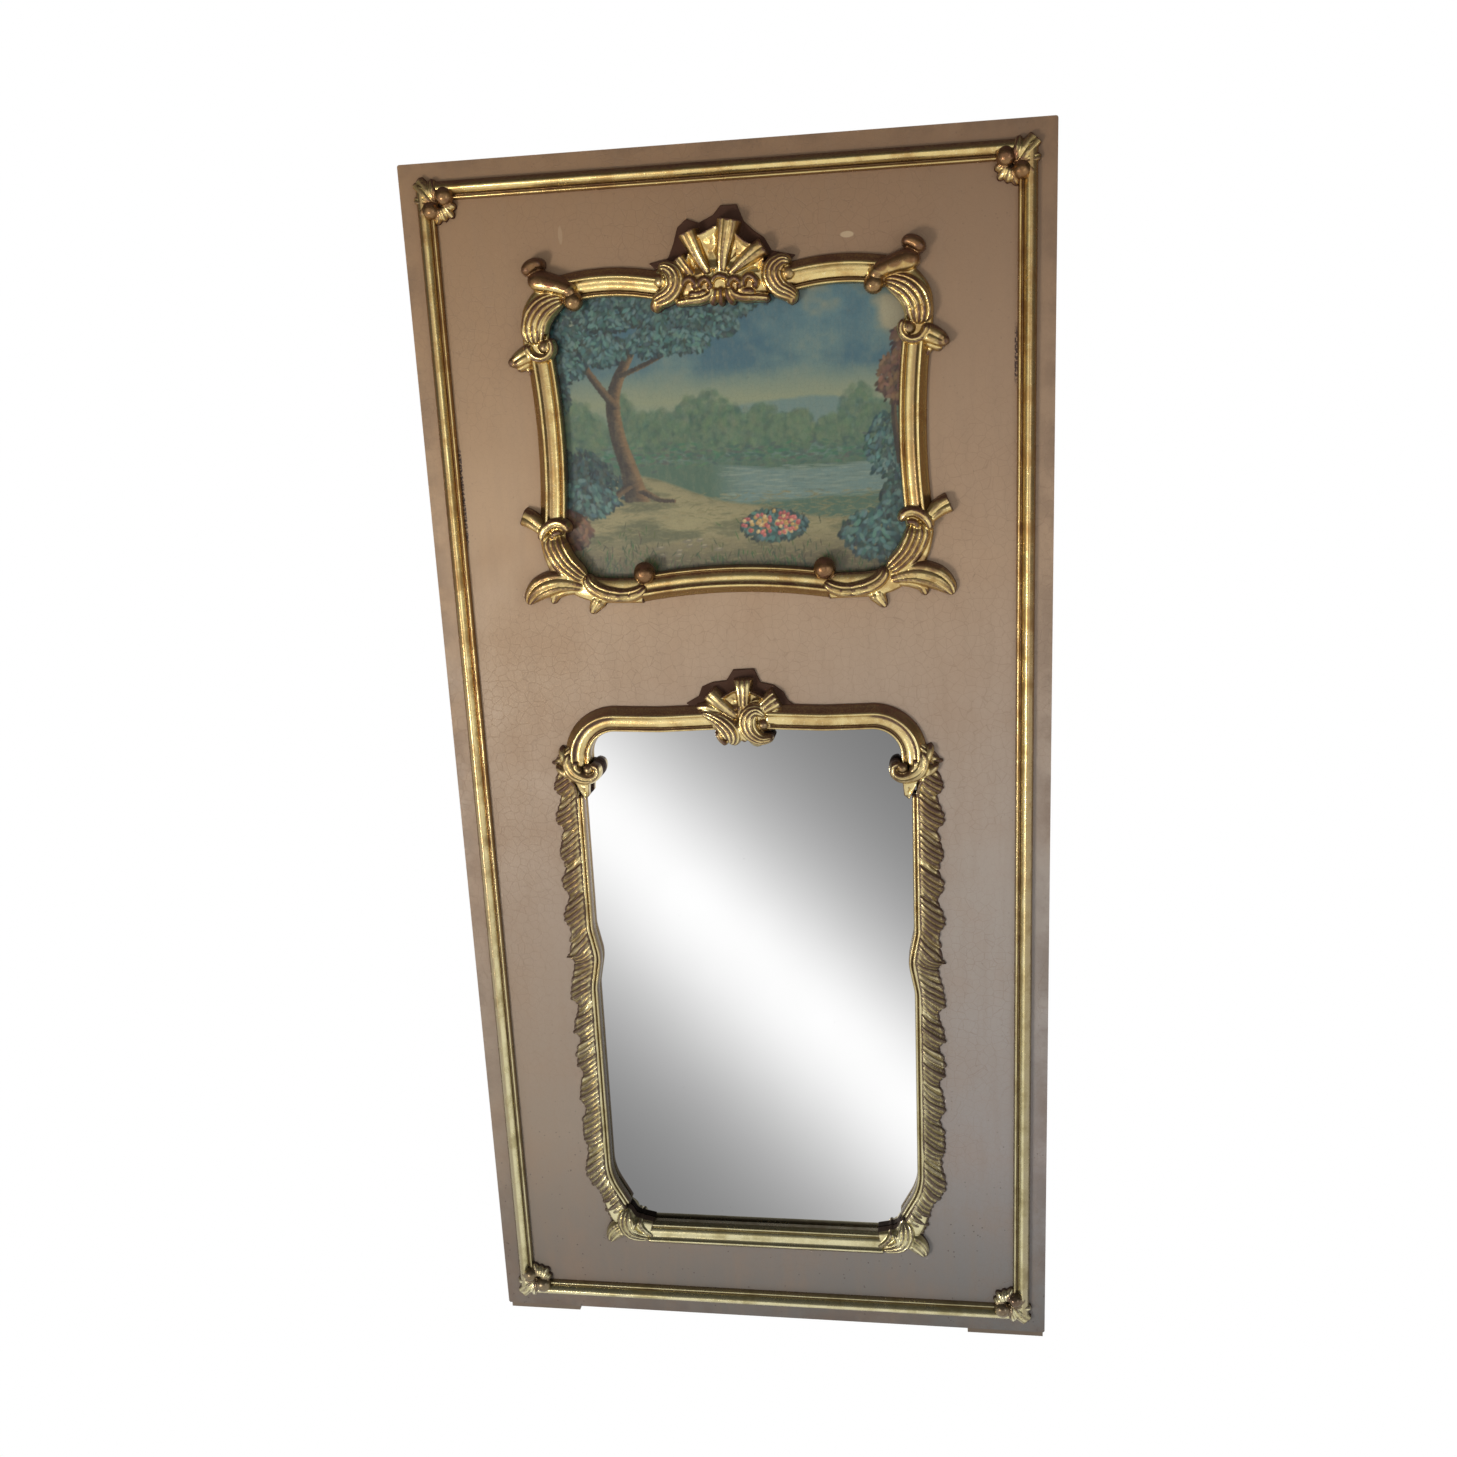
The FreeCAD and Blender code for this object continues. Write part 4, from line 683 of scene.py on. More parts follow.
def moulding(name, profile, points, back, grime_and_shade, step=4.0, mitre=False, wobble=0.22):
    """A gilt moulding swept along a path; the inner edge is right of the heading.

    `profile` is the front's section, as distances across and out, and `back` closes it, and
    the table after it gives how much red ground and painted shade show at each distance across.
    """
    width = profile[-1][0]
    line = path_samples(points, step)
    ways = headings(line)
    front = eased(profile, 4)
    loop = front + back
    ends = {0: -1, len(line) - 1: 1}
    vertices, faces = [], []
    for k, ((x, z), way) in enumerate(zip(line, ways)):
        for across, out in loop:
            u = across - width / 2
            slide = -across * ends.get(k, 0) if mitre else 0.0
            lift = 0.0
            if out > 1.5:
                lift = wobble * noise.noise(Vector((x * 0.035, z * 0.035, across * 0.12)))
            vertices.append((x + way[1] * u + way[0] * slide, -(out + lift),
                             z - way[0] * u + way[1] * slide))
    count = len(loop)
    for k in range(len(line) - 1):
        for j in range(count):
            a = k * count + j
            b = k * count + (j + 1) % count
            faces.append((a, a + count, b + count, b))
    faces.append(tuple(range(count)))
    faces.append(tuple((len(line) - 1) * count + j for j in reversed(range(count))))
    item = make_object(name, vertices, faces)
    tones = np.interp([across for across, out in front], *zip(*grime_and_shade)).tolist()
    # The back and the lip take a painted shade tone.
    tones += [0.4] * len(back)
    mark(item, base=np.tile(tones, len(line)))
    return item


# Sections of the mouldings as (across, out), how much red ground and painted shade show as
# (across, share), with the sides shaded otherwise than the top and bottom, and the lips behind
# their inner edges, which reach down to the glass and the picture.
LIP = [(36.0, -7.7), (32.0, -7.7), (32.0, 0.0), (0.0, 0.0)]
FRAME_PROFILE = [
    (0.0, 0.3), (0.4, 3.4), (1.6, 5.6), (4.0, 8.0), (7.0, 11.4), (9.6, 14.8), (11.6, 16.0),
    (13.2, 15.6), (14.6, 13.8), (16.4, 12.0), (19.0, 11.2), (22.0, 11.2), (25.0, 10.4),
    (27.6, 8.6), (29.2, 6.4), (30.2, 5.4), (31.0, 5.8), (32.0, 7.8), (33.4, 8.4),
    (34.8, 7.4), (35.6, 4.4), (36.0, 0.6),
]
BORDER_PROFILE = [
    (0.0, 0.2), (0.4, 4.0), (1.8, 7.0), (4.4, 10.2), (7.4, 12.3), (10.0, 12.8), (12.6, 11.6),
    (15.0, 9.0), (16.8, 6.4), (17.8, 4.6), (18.8, 4.6), (19.6, 6.3), (21.0, 7.4),
    (22.4, 6.8), (23.2, 4.8), (23.8, 2.2), (24.0, 0.2),
]
BEAD_PROFILE = [
    (0.0, 0.3), (0.1, 4.2), (1.0, 6.8), (2.9, 8.0), (4.8, 6.9), (5.7, 4.7), (6.2, 4.4),
    (6.8, 5.4), (8.0, 6.8), (9.4, 6.5), (10.5, 4.8), (11.0, 1.0),
]
FRAME_BOLE_AND_SHADE = ((0, 1.0), (1.5, 0.5), (8.5, 0.6), (10.5, 0.0), (28, 0.0), (29.5, 0.8), (31, 0.5),
               (32, 0.0), (35, 0.1), (36, 0.4))
SIDE_BOLE_AND_SHADE = ((0, 0.9), (1.5, 0.3), (3, 0.6), (9.5, 0.6), (11, 0.0), (12.5, 0.0), (14.5, 0.7),
              (20, 0.5), (23, 0.0), (28, 0.0), (29.5, 0.8), (31, 0.5), (32, 0.0), (35, 0.1),
              (36, 0.8))
BORDER_SIDE_BOLE_AND_SHADE = ((0, 1.0), (1.5, 0.6), (9.5, 0.55), (11.5, 0.0), (15.5, 0.0), (17, 0.8),
                     (19.5, 0.7), (20.5, 0.1), (22.5, 0.4), (24, 0.8))
BORDER_BOLE_AND_SHADE = ((0, 1.0), (1.5, 0.5), (6.5, 0.5), (8.5, 0.0), (16, 0.0), (17.5, 0.8), (19.5, 0.6),
                (20.5, 0.0), (22.5, 0.3), (24, 0.8))
BEAD_BOLE_AND_SHADE = ((0, 0.8), (1, 0.3), (2, 0.0), (4.5, 0.2), (6, 0.9), (7.5, 0.2), (9.5, 0.3), (11, 1.0))
BEAD_LIP = [(11.0, -7.7), (7.0, -7.7), (7.0, 0.0), (0.0, 0.0)]


def arc_through(start, middle, end):
    """A bow as one bend, in the form that path_samples takes."""
    chord = math.hypot(end[0] - start[0], end[1] - start[1])
    mid = ((start[0] + end[0]) / 2, (start[1] + end[1]) / 2)
    apex = (2 * middle[0] - mid[0], 2 * middle[1] - mid[1])
    rise = math.hypot(middle[0] - mid[0], middle[1] - mid[1])
    turn = 2 * math.atan(2 * rise / chord)
    leg = chord / 2 / math.cos(turn)
    return [(*start, 0), (*apex, 0.98 * leg / math.tan(turn)), (*end, 0)]


# The panel, the middle line of its border, and the middle lines of the picture's rails.
PANEL_WIDTH, PANEL_LOW, PANEL_TOP = 830.0, 13.0, 1700.0
BORDER_INSET = 35.0
SIDE_X, TOP_Z, LOW_Z = 244.0, 1537.0, 1145.0
BEAD_LINE = -235.5


def build_mouldings(gilt):
    """The border, the rails of the picture frame and of the mirror, and the beads."""
    border_width = BORDER_PROFILE[-1][0]
    reach = border_width / 2
    flat = [(border_width, 0.0), (0.0, 0.0)]
    line_x = PANEL_WIDTH / 2 - BORDER_INSET
    low, high = PANEL_LOW + BORDER_INSET, PANEL_TOP - BORDER_INSET
    runs = {
        "top": [(-line_x - reach, high, 0), (line_x + reach, high, 0)],
        "right": [(line_x, high + reach, 0), (line_x, low - reach, 0)],
        "bottom": [(line_x + reach, low, 0), (-line_x - reach, low, 0)],
        "left": [(-line_x, low - reach, 0), (-line_x, high + reach, 0)],
    }
    for name, run in runs.items():
        node = f"border_moulding_{name}"
        # Sides and rails take different tables of red ground and painted shade.
        grime_and_shade = BORDER_BOLE_AND_SHADE if name in ("top", "bottom") else BORDER_SIDE_BOLE_AND_SHADE
        item = moulding(f"gilt_border_{name}", BORDER_PROFILE, run, flat, grime_and_shade, 9.0, mitre=True)
        settle(item, gilt, node)

    low_end, high_end = LOW_Z + 90, TOP_Z - 84
    left = moulding("picture_rail_left", FRAME_PROFILE,
                    arc_through((-SIDE_X, low_end), (-SIDE_X + 6, (low_end + high_end) / 2),
                                (-SIDE_X, high_end)), LIP, SIDE_BOLE_AND_SHADE)
    top = moulding("picture_rail_top_left", FRAME_PROFILE,
                   arc_through((-SIDE_X + 38, TOP_Z - 1), (-146, TOP_Z + 3), (-78, TOP_Z - 4)), LIP,
                   FRAME_BOLE_AND_SHADE)
    bottom = moulding("picture_rail_bottom", FRAME_PROFILE,
                      arc_through((128, LOW_Z), (0, LOW_Z + 10), (-128, LOW_Z)), LIP, FRAME_BOLE_AND_SHADE)
    settle(bottom, gilt, "picture_moulding_bottom")
    settle_pair(left, gilt, "picture_moulding")
    settle_pair(top, gilt, "picture_moulding_top")

    bottom = moulding("mirror_rail_bottom", FRAME_PROFILE,
                      [(178, 154, 0), (-178, 154, 0)], LIP, FRAME_BOLE_AND_SHADE)
    settle(bottom, gilt, "mirror_moulding_bottom")
    bead = moulding("glass_bead_left", BEAD_PROFILE,
                    [(BEAD_LINE + 26, 202, 0), (BEAD_LINE, 250, 90), (BEAD_LINE, 562, 60),
                     (BEAD_LINE + 9, 607, 60), (BEAD_LINE, 652, 60), (BEAD_LINE, 854, 0)],
                    BEAD_LIP, BEAD_BOLE_AND_SHADE, wobble=0.3)
    settle_pair(bead, gilt, "mirror_bead")


# ------------------------------------------------------------------ carvings

def corner_sprays(gilt):
    """Two berries between fluted leaves over each corner of the border."""
    c = Carving("corner_spray_top_left_carving")
    c.stroke([(-368, 1650, 12, 13), (-379, 1664, 19, 16), (-391, 1678, 19, 10)], 2, 3.0,
             (True, False))
    c.stroke([(-366, 1654, 10, 14), (-370, 1668, 13, 16), (-372, 1681, 8, 8)], 2, 1.6)
    c.stroke([(-372, 1648, 10, 13), (-386, 1654, 12, 13), (-397, 1657, 10, 7)], 2, 1.6)
    c.stroke([(-378, 1652, 8, 12), (-386, 1640, 9, 13), (-386, 1627, 5, 9)])
    for lobe in ([(-368, 1648, 10, 13), (-366, 1634, 11, 12), (-369, 1624, 7, 5)],
                 [(-362, 1646, 10, 14), (-359, 1635, 11, 12), (-356, 1627, 7, 5)],
                 [(-358, 1648, 10, 14), (-351, 1638, 11, 11), (-345, 1631, 7, 5)],
                 [(-356, 1650, 10, 14), (-347, 1646, 11, 11), (-341, 1642, 7, 5)]):
        c.stroke(lobe, 2, 1.4)
    c.ball(-358.5, 1659.5, 12.5, 20, 0.9)
    c.ball(-377, 1643, 11.2, 19, 0.9)
    top = c.finish(0.8)
    low = bpy.data.objects.new("corner_spray_bottom_left_carving", top.data.copy())
    bpy.context.scene.collection.objects.link(low)
    low.data.name = low.name
    flip = Matrix.Translation((0, 0, (PANEL_LOW + PANEL_TOP) * MM)) @ \
        Matrix.Scale(-1, 4, Vector((0, 0, 1)))
    low.data.transform(flip)
    low.data.flip_normals()
    settle_pair(top, gilt, "corner_spray_top")
    settle_pair(low, gilt, "corner_spray_bottom")


def picture_corners(gilt):
    """Scrolls, hook leaves and balls at the picture's top corners, sprays at the lower ones."""
    c = Carving("picture_corner_top_left_carving")
    c.stroke([(-245, 1448, 34, 9), (-249, 1478, 36, 11), (-246, 1508, 36, 12),
              (-224, 1530, 34, 12), (-186, 1533, 34, 11)], ends=(False, False))
    c.stroke([(-207, 1524, 18, 17), (-221, 1521, 27, 20), (-236, 1513, 35, 22),
              (-247, 1500, 38, 22), (-251, 1484, 37, 21), (-250, 1468, 32, 18)], 5, 3.4)
    c.curl((-241, 1467), (20, 12), (170, 405), (14, 9), (20, 18), 2, 1.8)
    c.ball(-239, 1466, 8, 18, 0.3)
    c.stroke([(-189, 1527, 17, 22), (-203, 1537, 22, 24), (-222, 1544, 25, 25),
              (-241, 1549, 28, 25), (-252, 1556, 22, 24)], 1, 1.2, tilt=0.08)
    c.stroke([(-253, 1553, 18, 24), (-251, 1564, 19, 25), (-240, 1569, 17, 24),
              (-231, 1564, 10, 21)])
    for x, z, radius in ((-205, 1544, 9), (-222, 1550, 11), (-244, 1561, 18)):
        c.shade(x, z, radius, 0.95)
    c.ball(-197, 1521, 12.8, 24, 0.75)
    c.stroke([(-250, 1462, 22, 16), (-264, 1457, 25, 19), (-277, 1450, 21, 18),
              (-286, 1444, 13, 14)], 2, 1.8, tilt=0.1)
    c.ball(-283, 1448, 6.5, 17, 0.7)
    c.stroke([(-256, 1450, 14, 14), (-267, 1443, 12, 13), (-277, 1437, 7, 9)], 1, 1.2)
    c.stroke([(-256, 1456, 10, 13), (-262, 1442, 8, 10), (-257, 1430, 5, 8)])
    top = c.finish()

    c = Carving("picture_corner_bottom_left_carving")
    c.stroke([(-244, 1236, 34, 9), (-246, 1206, 36, 11), (-232, 1170, 36, 12),
              (-196, 1146, 34, 12), (-126, 1142, 34, 10)], ends=(False, False))
    c.stroke([(-244, 1224, 32, 19), (-245, 1208, 35, 21), (-240, 1194, 35, 22),
              (-231, 1180, 33, 21), (-218, 1168, 29, 19), (-205, 1159, 23, 16)], 5, 3.4)
    c.stroke([(-263, 1212, 12, 18), (-258, 1226, 15, 22), (-244, 1236, 16, 23),
              (-230, 1234, 15, 23), (-222, 1224, 11, 20)], 2, 1.4)
    c.stroke([(-248, 1214, 9, 19), (-242, 1223, 10, 22), (-231, 1225, 9, 22)])
    c.stroke([(-204, 1166, 14, 19), (-199, 1153, 19, 21), (-186, 1143, 21, 21),
              (-166, 1137, 21, 20), (-148, 1136, 20, 19), (-133, 1140, 18, 19),
              (-121, 1148, 14, 18)], 3, 2.4)
    c.ball(-125, 1165, 15, 25, 0.95)
    c.stroke([(-205, 1150, 16, 14), (-228, 1156, 27, 18), (-250, 1156, 33, 20),
              (-270, 1149, 33, 18), (-283, 1138, 24, 13), (-289, 1127, 12, 7)], 3, 2.8,
             tilt=0.06)
    c.stroke([(-214, 1147, 14, 12), (-235, 1146, 18, 14), (-248, 1140, 16, 12),
              (-254, 1127, 9, 6)], 2, 1.8)
    for x, z in ((-250, 1170), (-268, 1167)):
        c.shade(x, z, 9, 0.7)
    c.stroke([(-254, 1220, 14, 14), (-265, 1233, 21, 18), (-276, 1242, 25, 18),
              (-286, 1247, 26, 14)], 2, 2.4, (True, False))
    c.stroke([(-184, 1136, 27, 13), (-192, 1126, 21, 12), (-201, 1112, 9, 6)], 2, 2.0)
    low = c.finish()
    settle_pair(top, gilt, "picture_corner_top")
    settle_pair(low, gilt, "picture_corner_bottom")


def picture_crest(gilt):
    """A shell of four rays over curls and ribbons, between two reeded volutes."""
    c = Carving("picture_crest_carving", GLASS_FLOOR)
    c.stroke([(-86, 1536, 34, 9), (-40, 1534, 36, 13), (0, 1534, 38, 14), (44, 1534, 36, 13),
              (86, 1535, 34, 9)], ends=(False, False))
    # A low rim round the crest, dark all over: a painted shadow.
    c.rim([(-93, 1561), (-68, 1565), (-60, 1583), (-54, 1602), (-42, 1612), (-26, 1606),
           (-8, 1614), (2, 1625), (23, 1625), (31, 1605), (43, 1593), (56, 1584), (65, 1568),
           (95, 1561), (60, 1530), (-60, 1530)])
    c.plate([(-31, 1591), (-18, 1596), (-5, 1602), (2, 1582), (0, 1550), (-20, 1550),
             (-28, 1572)], [19, 20, 21, 19, 15, 15, 17], 5)
    c.plate([(18, 1593), (30, 1582), (44, 1574), (32, 1560), (12, 1548), (4, 1552), (9, 1572)],
            [21, 19, 18, 17, 14, 15, 18], 5)
    c.plate([(-44, 1566), (-36, 1582), (-24, 1560), (-18, 1546), (-40, 1542)],
            [16, 17, 16, 14, 13], 4)
    c.plate([(56, 1562), (50, 1566), (24, 1552), (10, 1544), (50, 1542)],
            [14, 16, 15, 13, 13], 3)
    c.stroke([(-14, 1542, 12, 17), (-26, 1562, 18, 22), (-36, 1584, 24, 25),
              (-41, 1596, 27, 26)], 2, 2.0, (True, False))
    c.stroke([(1, 1542, 11, 17), (4, 1568, 20, 23), (9, 1592, 28, 27), (12, 1608, 31, 27)],
             3, 2.2, (True, False))
    c.stroke([(8, 1540, 9, 15), (26, 1554, 17, 21), (43, 1566, 23, 24), (55, 1573, 25, 24)],
             2, 2.0, (True, False))
    c.stroke([(-34, 1540, 10, 13), (-44, 1552, 16, 18), (-54, 1566, 17, 18)], 2, 2.0,
             (True, False))
    c.ball(-1, 1546, 13, 16, 0)
    c.stroke([(-13, 1532, 7, 19), (-8, 1539, 7, 22), (-1, 1541, 8, 23), (6, 1538, 7, 22),
              (10, 1531, 7, 19)])
    for points in ([(-51, 1528), (-47, 1537), (-39, 1539), (-33, 1532), (-37, 1526)],
                   [(-30, 1526), (-27, 1535), (-19, 1538), (-13, 1530), (-18, 1524)],
                   [(8, 1525), (11, 1534), (18, 1537), (25, 1530), (20, 1524)],
                   [(27, 1525), (30, 1536), (37, 1539), (45, 1531), (40, 1524)]):
        c.stroke([(*p, 9, 22) for p in points])
    for x in (-42, -21, 16, 37):
        c.shade(x, 1532, 8, 0.55)
    for side in (-1, 1):
        c.stroke([(61 * side, 1510, 9, 15), (44 * side, 1512, 11, 18), (27 * side, 1513, 12, 19),
                  (15 * side, 1518, 11, 20), (10 * side, 1528, 8, 19)], 2, 1.4)
        c.stroke([(44 * side, 1520, 8, 16), (30 * side, 1521, 9, 17), (18 * side, 1523, 7, 16)])
    c.stroke([(-7, 1527, 7, 20), (-9, 1515, 8, 20), (-15, 1506, 8, 13)])
    c.stroke([(-1, 1528, 7, 21), (-1, 1515, 8, 21), (-2, 1504, 7, 13)])
    c.stroke([(6, 1527, 7, 20), (8, 1515, 8, 20), (15, 1505, 8, 13)])
    c.stroke([(-82, 1554, 10, 19), (-71, 1554, 20, 23), (-62, 1546, 28, 25),
              (-61, 1533, 28, 25), (-69, 1522, 25, 22), (-82, 1516, 21, 19),
              (-91, 1512, 17, 16)], 5, 2.8)
    c.ball(-80, 1539, 9, 18, 0)
    c.stroke([(-78, 1518, 18, 18), (-86, 1509, 18, 16), (-87, 1500, 14, 12)], 2, 1.6)
    c.stroke([(90, 1553, 10, 19), (78, 1555, 20, 23), (67, 1547, 28, 25), (66, 1534, 28, 25),
              (74, 1522, 25, 22), (87, 1515, 20, 19), (96, 1509, 14, 15)], 5, 2.8)
    c.ball(85, 1540, 9, 18, 0)
    c.stroke([(78, 1518, 17, 18), (87, 1510, 18, 16), (88, 1501, 13, 12)], 2, 1.6)
    settle(c.finish(), gilt, "picture_crest")


def mirror_crest(gilt):
    """A smaller shell of three rays over two reeded commas."""
    c = Carving("mirror_crest_carving", GLASS_FLOOR)
    c.stroke([(-40, 962, 30, 9), (0, 958, 34, 12), (40, 960, 30, 9)], ends=(False, False))
    # A low rim round the crest, dark all over: a painted shadow.
    c.rim([(-76, 985), (-58, 995), (-53, 1008), (-38, 1014), (-19, 1016), (-9, 1031),
           (20, 1032), (28, 1013), (46, 1009), (59, 999), (65, 987), (82, 975), (30, 950),
           (-30, 950)])
    c.plate([(-30, 990), (-12, 1001), (0, 1004), (2, 978), (-14, 974)], [17, 18, 18, 16, 15], 5)
    c.plate([(8, 1002), (20, 997), (31, 991), (34, 976), (6, 976)], [18, 17, 16, 14, 15], 5)
    c.stroke([(-4, 964, 14, 17), (-22, 979, 19, 20), (-37, 992, 23, 20), (-44, 999, 24, 18)],
             2, 1.8, (True, False))
    c.stroke([(3, 974, 14, 18), (4, 996, 21, 22), (4, 1010, 25, 22), (4, 1018, 27, 19)], 4, 2.2,
             (True, False))
    c.stroke([(18, 968, 10, 15), (32, 979, 21, 20), (45, 988, 29, 20), (50, 991, 30, 18)], 4, 2.2,
             (True, False))
    c.stroke([(-26, 970, 12, 15), (-46, 979, 13, 17), (-63, 979, 7, 13)], 2, 1.4)
    c.stroke([(32, 972, 12, 14), (50, 971, 12, 14), (67, 968, 5, 11)], 2, 1.4)
    c.stroke([(-1, 984, 8, 18), (-2, 965, 9, 20), (1, 945, 11, 20), (4, 929, 8, 17)])
    c.stroke([(-57, 973, 8, 17), (-42, 967, 18, 22), (-27, 957, 27, 25), (-16, 944, 31, 26),
              (-14, 933, 27, 25), (-18, 926, 17, 22)], 5, 2.8)
    c.stroke([(-36, 946, 8, 14), (-30, 934, 9, 15), (-21, 926, 9, 15)])
    c.ball(-28, 949, 7.5, 16, 0.3)
    c.stroke([(34, 966, 10, 19), (22, 974, 20, 24), (11, 968, 27, 26), (8, 954, 29, 26),
              (14, 941, 25, 25), (27, 933, 17, 21), (44, 935, 9, 16)], 5, 2.8)
    c.ball(29, 953, 7.5, 16, 0.3)
    c.stroke([(20, 938, 22, 17), (20, 929, 24, 15), (20, 922, 17, 9)], 3, 1.2)
    settle(c.finish(), gilt, "mirror_crest")


def mirror_top(gilt):
    """The mirror's shaped top mouldings, each ending in a comma scroll over a ball."""
    rail = moulding("mirror_rail_top_left", FRAME_PROFILE,
                    [(-234, 897, 0), (-234, 966, 55), (-112.5, 963, 300), (-34, 966, 0)], LIP,
                    FRAME_BOLE_AND_SHADE)
    settle_pair(rail, gilt, "mirror_moulding_top")
    c = Carving("mirror_volute_left", GLASS_FLOOR)
    c.stroke([(-246, 916, 12, 16), (-250, 901, 18, 20), (-245, 887, 21, 21),
              (-233, 879, 19, 21), (-219, 877, 15, 21), (-209, 884, 12, 21),
              (-209, 894, 10, 20), (-218, 898, 8, 19)], 2, 2.6)
    c.stroke([(-238, 905, 9, 17), (-238, 894, 9, 18), (-230, 887, 8, 18)])
    c.ball(-222, 890, 7.5, 19, 0.5)
    c.stroke([(-245, 886, 9, 14), (-253, 902, 13, 16), (-257, 916, 12, 13), (-257, 926, 6, 7)],
             1, 1.6)
    c.stroke([(-247, 880, 9, 13), (-259, 888, 13, 14), (-268, 897, 7, 9)], 1, 1.6)
    c.plate([(-243, 874), (-222, 870), (-223, 852), (-229, 846), (-237, 860)],
            [13, 14, 12, 9, 11], 2)
    c.stroke([(-252, 880, 7, 14), (-243, 867, 6, 13), (-239, 848, 5, 10)])
    settle_pair(c.finish(0.8), gilt, "mirror_moulding_top")


def mirror_low_corners(gilt):
    """Reeded scrolls with a leaf, where the bottom rail meets the beads and leaves."""
    c = Carving("mirror_corner_bottom_left_carving", GLASS_FLOOR)
    c.stroke([(-236, 206, 24, 9), (-224, 180, 30, 11), (-204, 160, 34, 12),
              (-176, 153, 34, 11)], ends=(False, False))
    c.stroke([(-211, 190, 18, 15), (-215, 177, 26, 20), (-214, 163, 29, 22),
              (-207, 151, 26, 21), (-193, 145, 18, 18), (-178, 143, 12, 14)], 4, 3.4)
    c.stroke([(-197, 171, 9, 18), (-203, 161, 9, 20), (-199, 151, 8, 17)], 2, 1.4)
    c.stroke([(-194, 174, 8, 14), (-190, 162, 9, 16), (-181, 152, 9, 15), (-171, 147, 7, 12)])
    c.stroke([(-214, 164, 22, 14), (-227, 155, 29, 17), (-237, 144, 24, 14),
              (-242, 132, 10, 8)], 3, 3.4)
    settle_pair(c.finish(0.8), gilt, "mirror_corner_bottom")


LEAF_PEAKS = (904, 865, 815, 765, 715, 665, 605, 540, 487, 433, 375, 315, 248, 180)
FLUTE_PITCH = 9.0
FLUTE_SLOPE = 0.76


def leaf_reach(level):
    """How far the leaves stand out from the bead at a height above the floor."""
    below = max([p for p in LEAF_PEAKS if p <= level], default=None)
    above = min([p for p in LEAF_PEAKS if p > level], default=None)
    if above is None:
        return 31 * max(0.05, 1 - (level - LEAF_PEAKS[0]) / 26) ** 0.6
    if below is None:
        return 33 * max(0.05, 1 - (above - level) / 18) ** 0.5
    share = (level - below) / (above - below)
    saw = (1 - share / 0.72) if share < 0.72 else ((share - 0.72) / 0.28) ** 1.6
    return 26.0 + 8.0 * math.sin(math.pi / 2 * max(saw, 0)) ** 1.2


def leaf_borders(gilt):
    """Leaves folded over each other beside the glass, fluted on the slant."""
    line = path_samples([(-239, 928, 0), (-239, 650, 60), (-231, 607, 60), (-239, 564, 60),
                         (-239, 250, 90), (-207, 187, 0)], 0.8)
    ways = headings(line)
    columns = 46
    vertices, faces, tones = [], [], []
    run = 928.0
    before = line[0]
    for (x, z), way in zip(line, ways):
        run -= math.hypot(x - before[0], z - before[1])
        before = (x, z)
        bend = min(max(0.0, (262 - z) / 62), 1.0)
        reach = leaf_reach(run) + (x + 239 if z > 400 else 0)
        for j in range(columns + 1):
            u = j / columns
            d = u * reach
            slant = run + d * FLUTE_SLOPE * (1 - 0.8 * bend)
            wander = 0.30 * noise.noise(Vector((d * 0.03, z * 0.045, 3.0)))
            phase = slant / FLUTE_PITCH + wander
            ridge = abs(math.sin(math.pi * phase)) ** 0.6
            leaf = noise.cell(Vector((math.floor(phase) * 1.7, 0.5, 0.5)))
            near = min(LEAF_PEAKS, key=lambda p: abs(p + 22 - slant))
            swell = math.cos(min(abs(near + 22 - slant) / 30, 1) * math.pi / 2)
            edge = d + ((ridge - 0.5) * 2.6 + (leaf - 0.5) * 2.4) * u
            rise = (1 - u ** 6) * (0.5 + 0.5 * math.sin(math.pi * min(0.12 + u * 1.05, 1)))
            out = 2.6 + (6.4 + 3.4 * swell + 1.2 * leaf) * rise
            out -= 3.0 * (1 - ridge) * min(1, 3 * u + 0.3)
            out = max(out, 0.9)
            if j == columns:
                out = 0.4
            # Painted shade: the grooves between the flutes are dark, and the outer edge darker
            # still.
            tones.append(0.9 * max(0.0, 1 - ridge * 2.1) + (0.5 if u > 0.98 else 0.0))
            vertices.append((x + way[1] * edge, -out, z - way[0] * edge))
        tones += [1.0, 1.0]
        vertices.append((x + way[1] * reach, 0.4, z - way[0] * reach))
        vertices.append((x, 0.4, z))
    count = columns + 3
    rows = len(line)
    for k in range(rows - 1):
        for j in range(count):
            a = k * count + j
            b = k * count + (j + 1) % count
            faces.append((a, b, b + count, a + count))
    faces.append(tuple(reversed(range(count))))
    faces.append(tuple((rows - 1) * count + j for j in range(count)))
    item = make_object("leaf_border_left_carving", vertices, faces)
    mark(item, base=tones)
    settle_pair(item, gilt, "mirror_leaf_border")


# ------------------------------------------------------------------ the painted picture

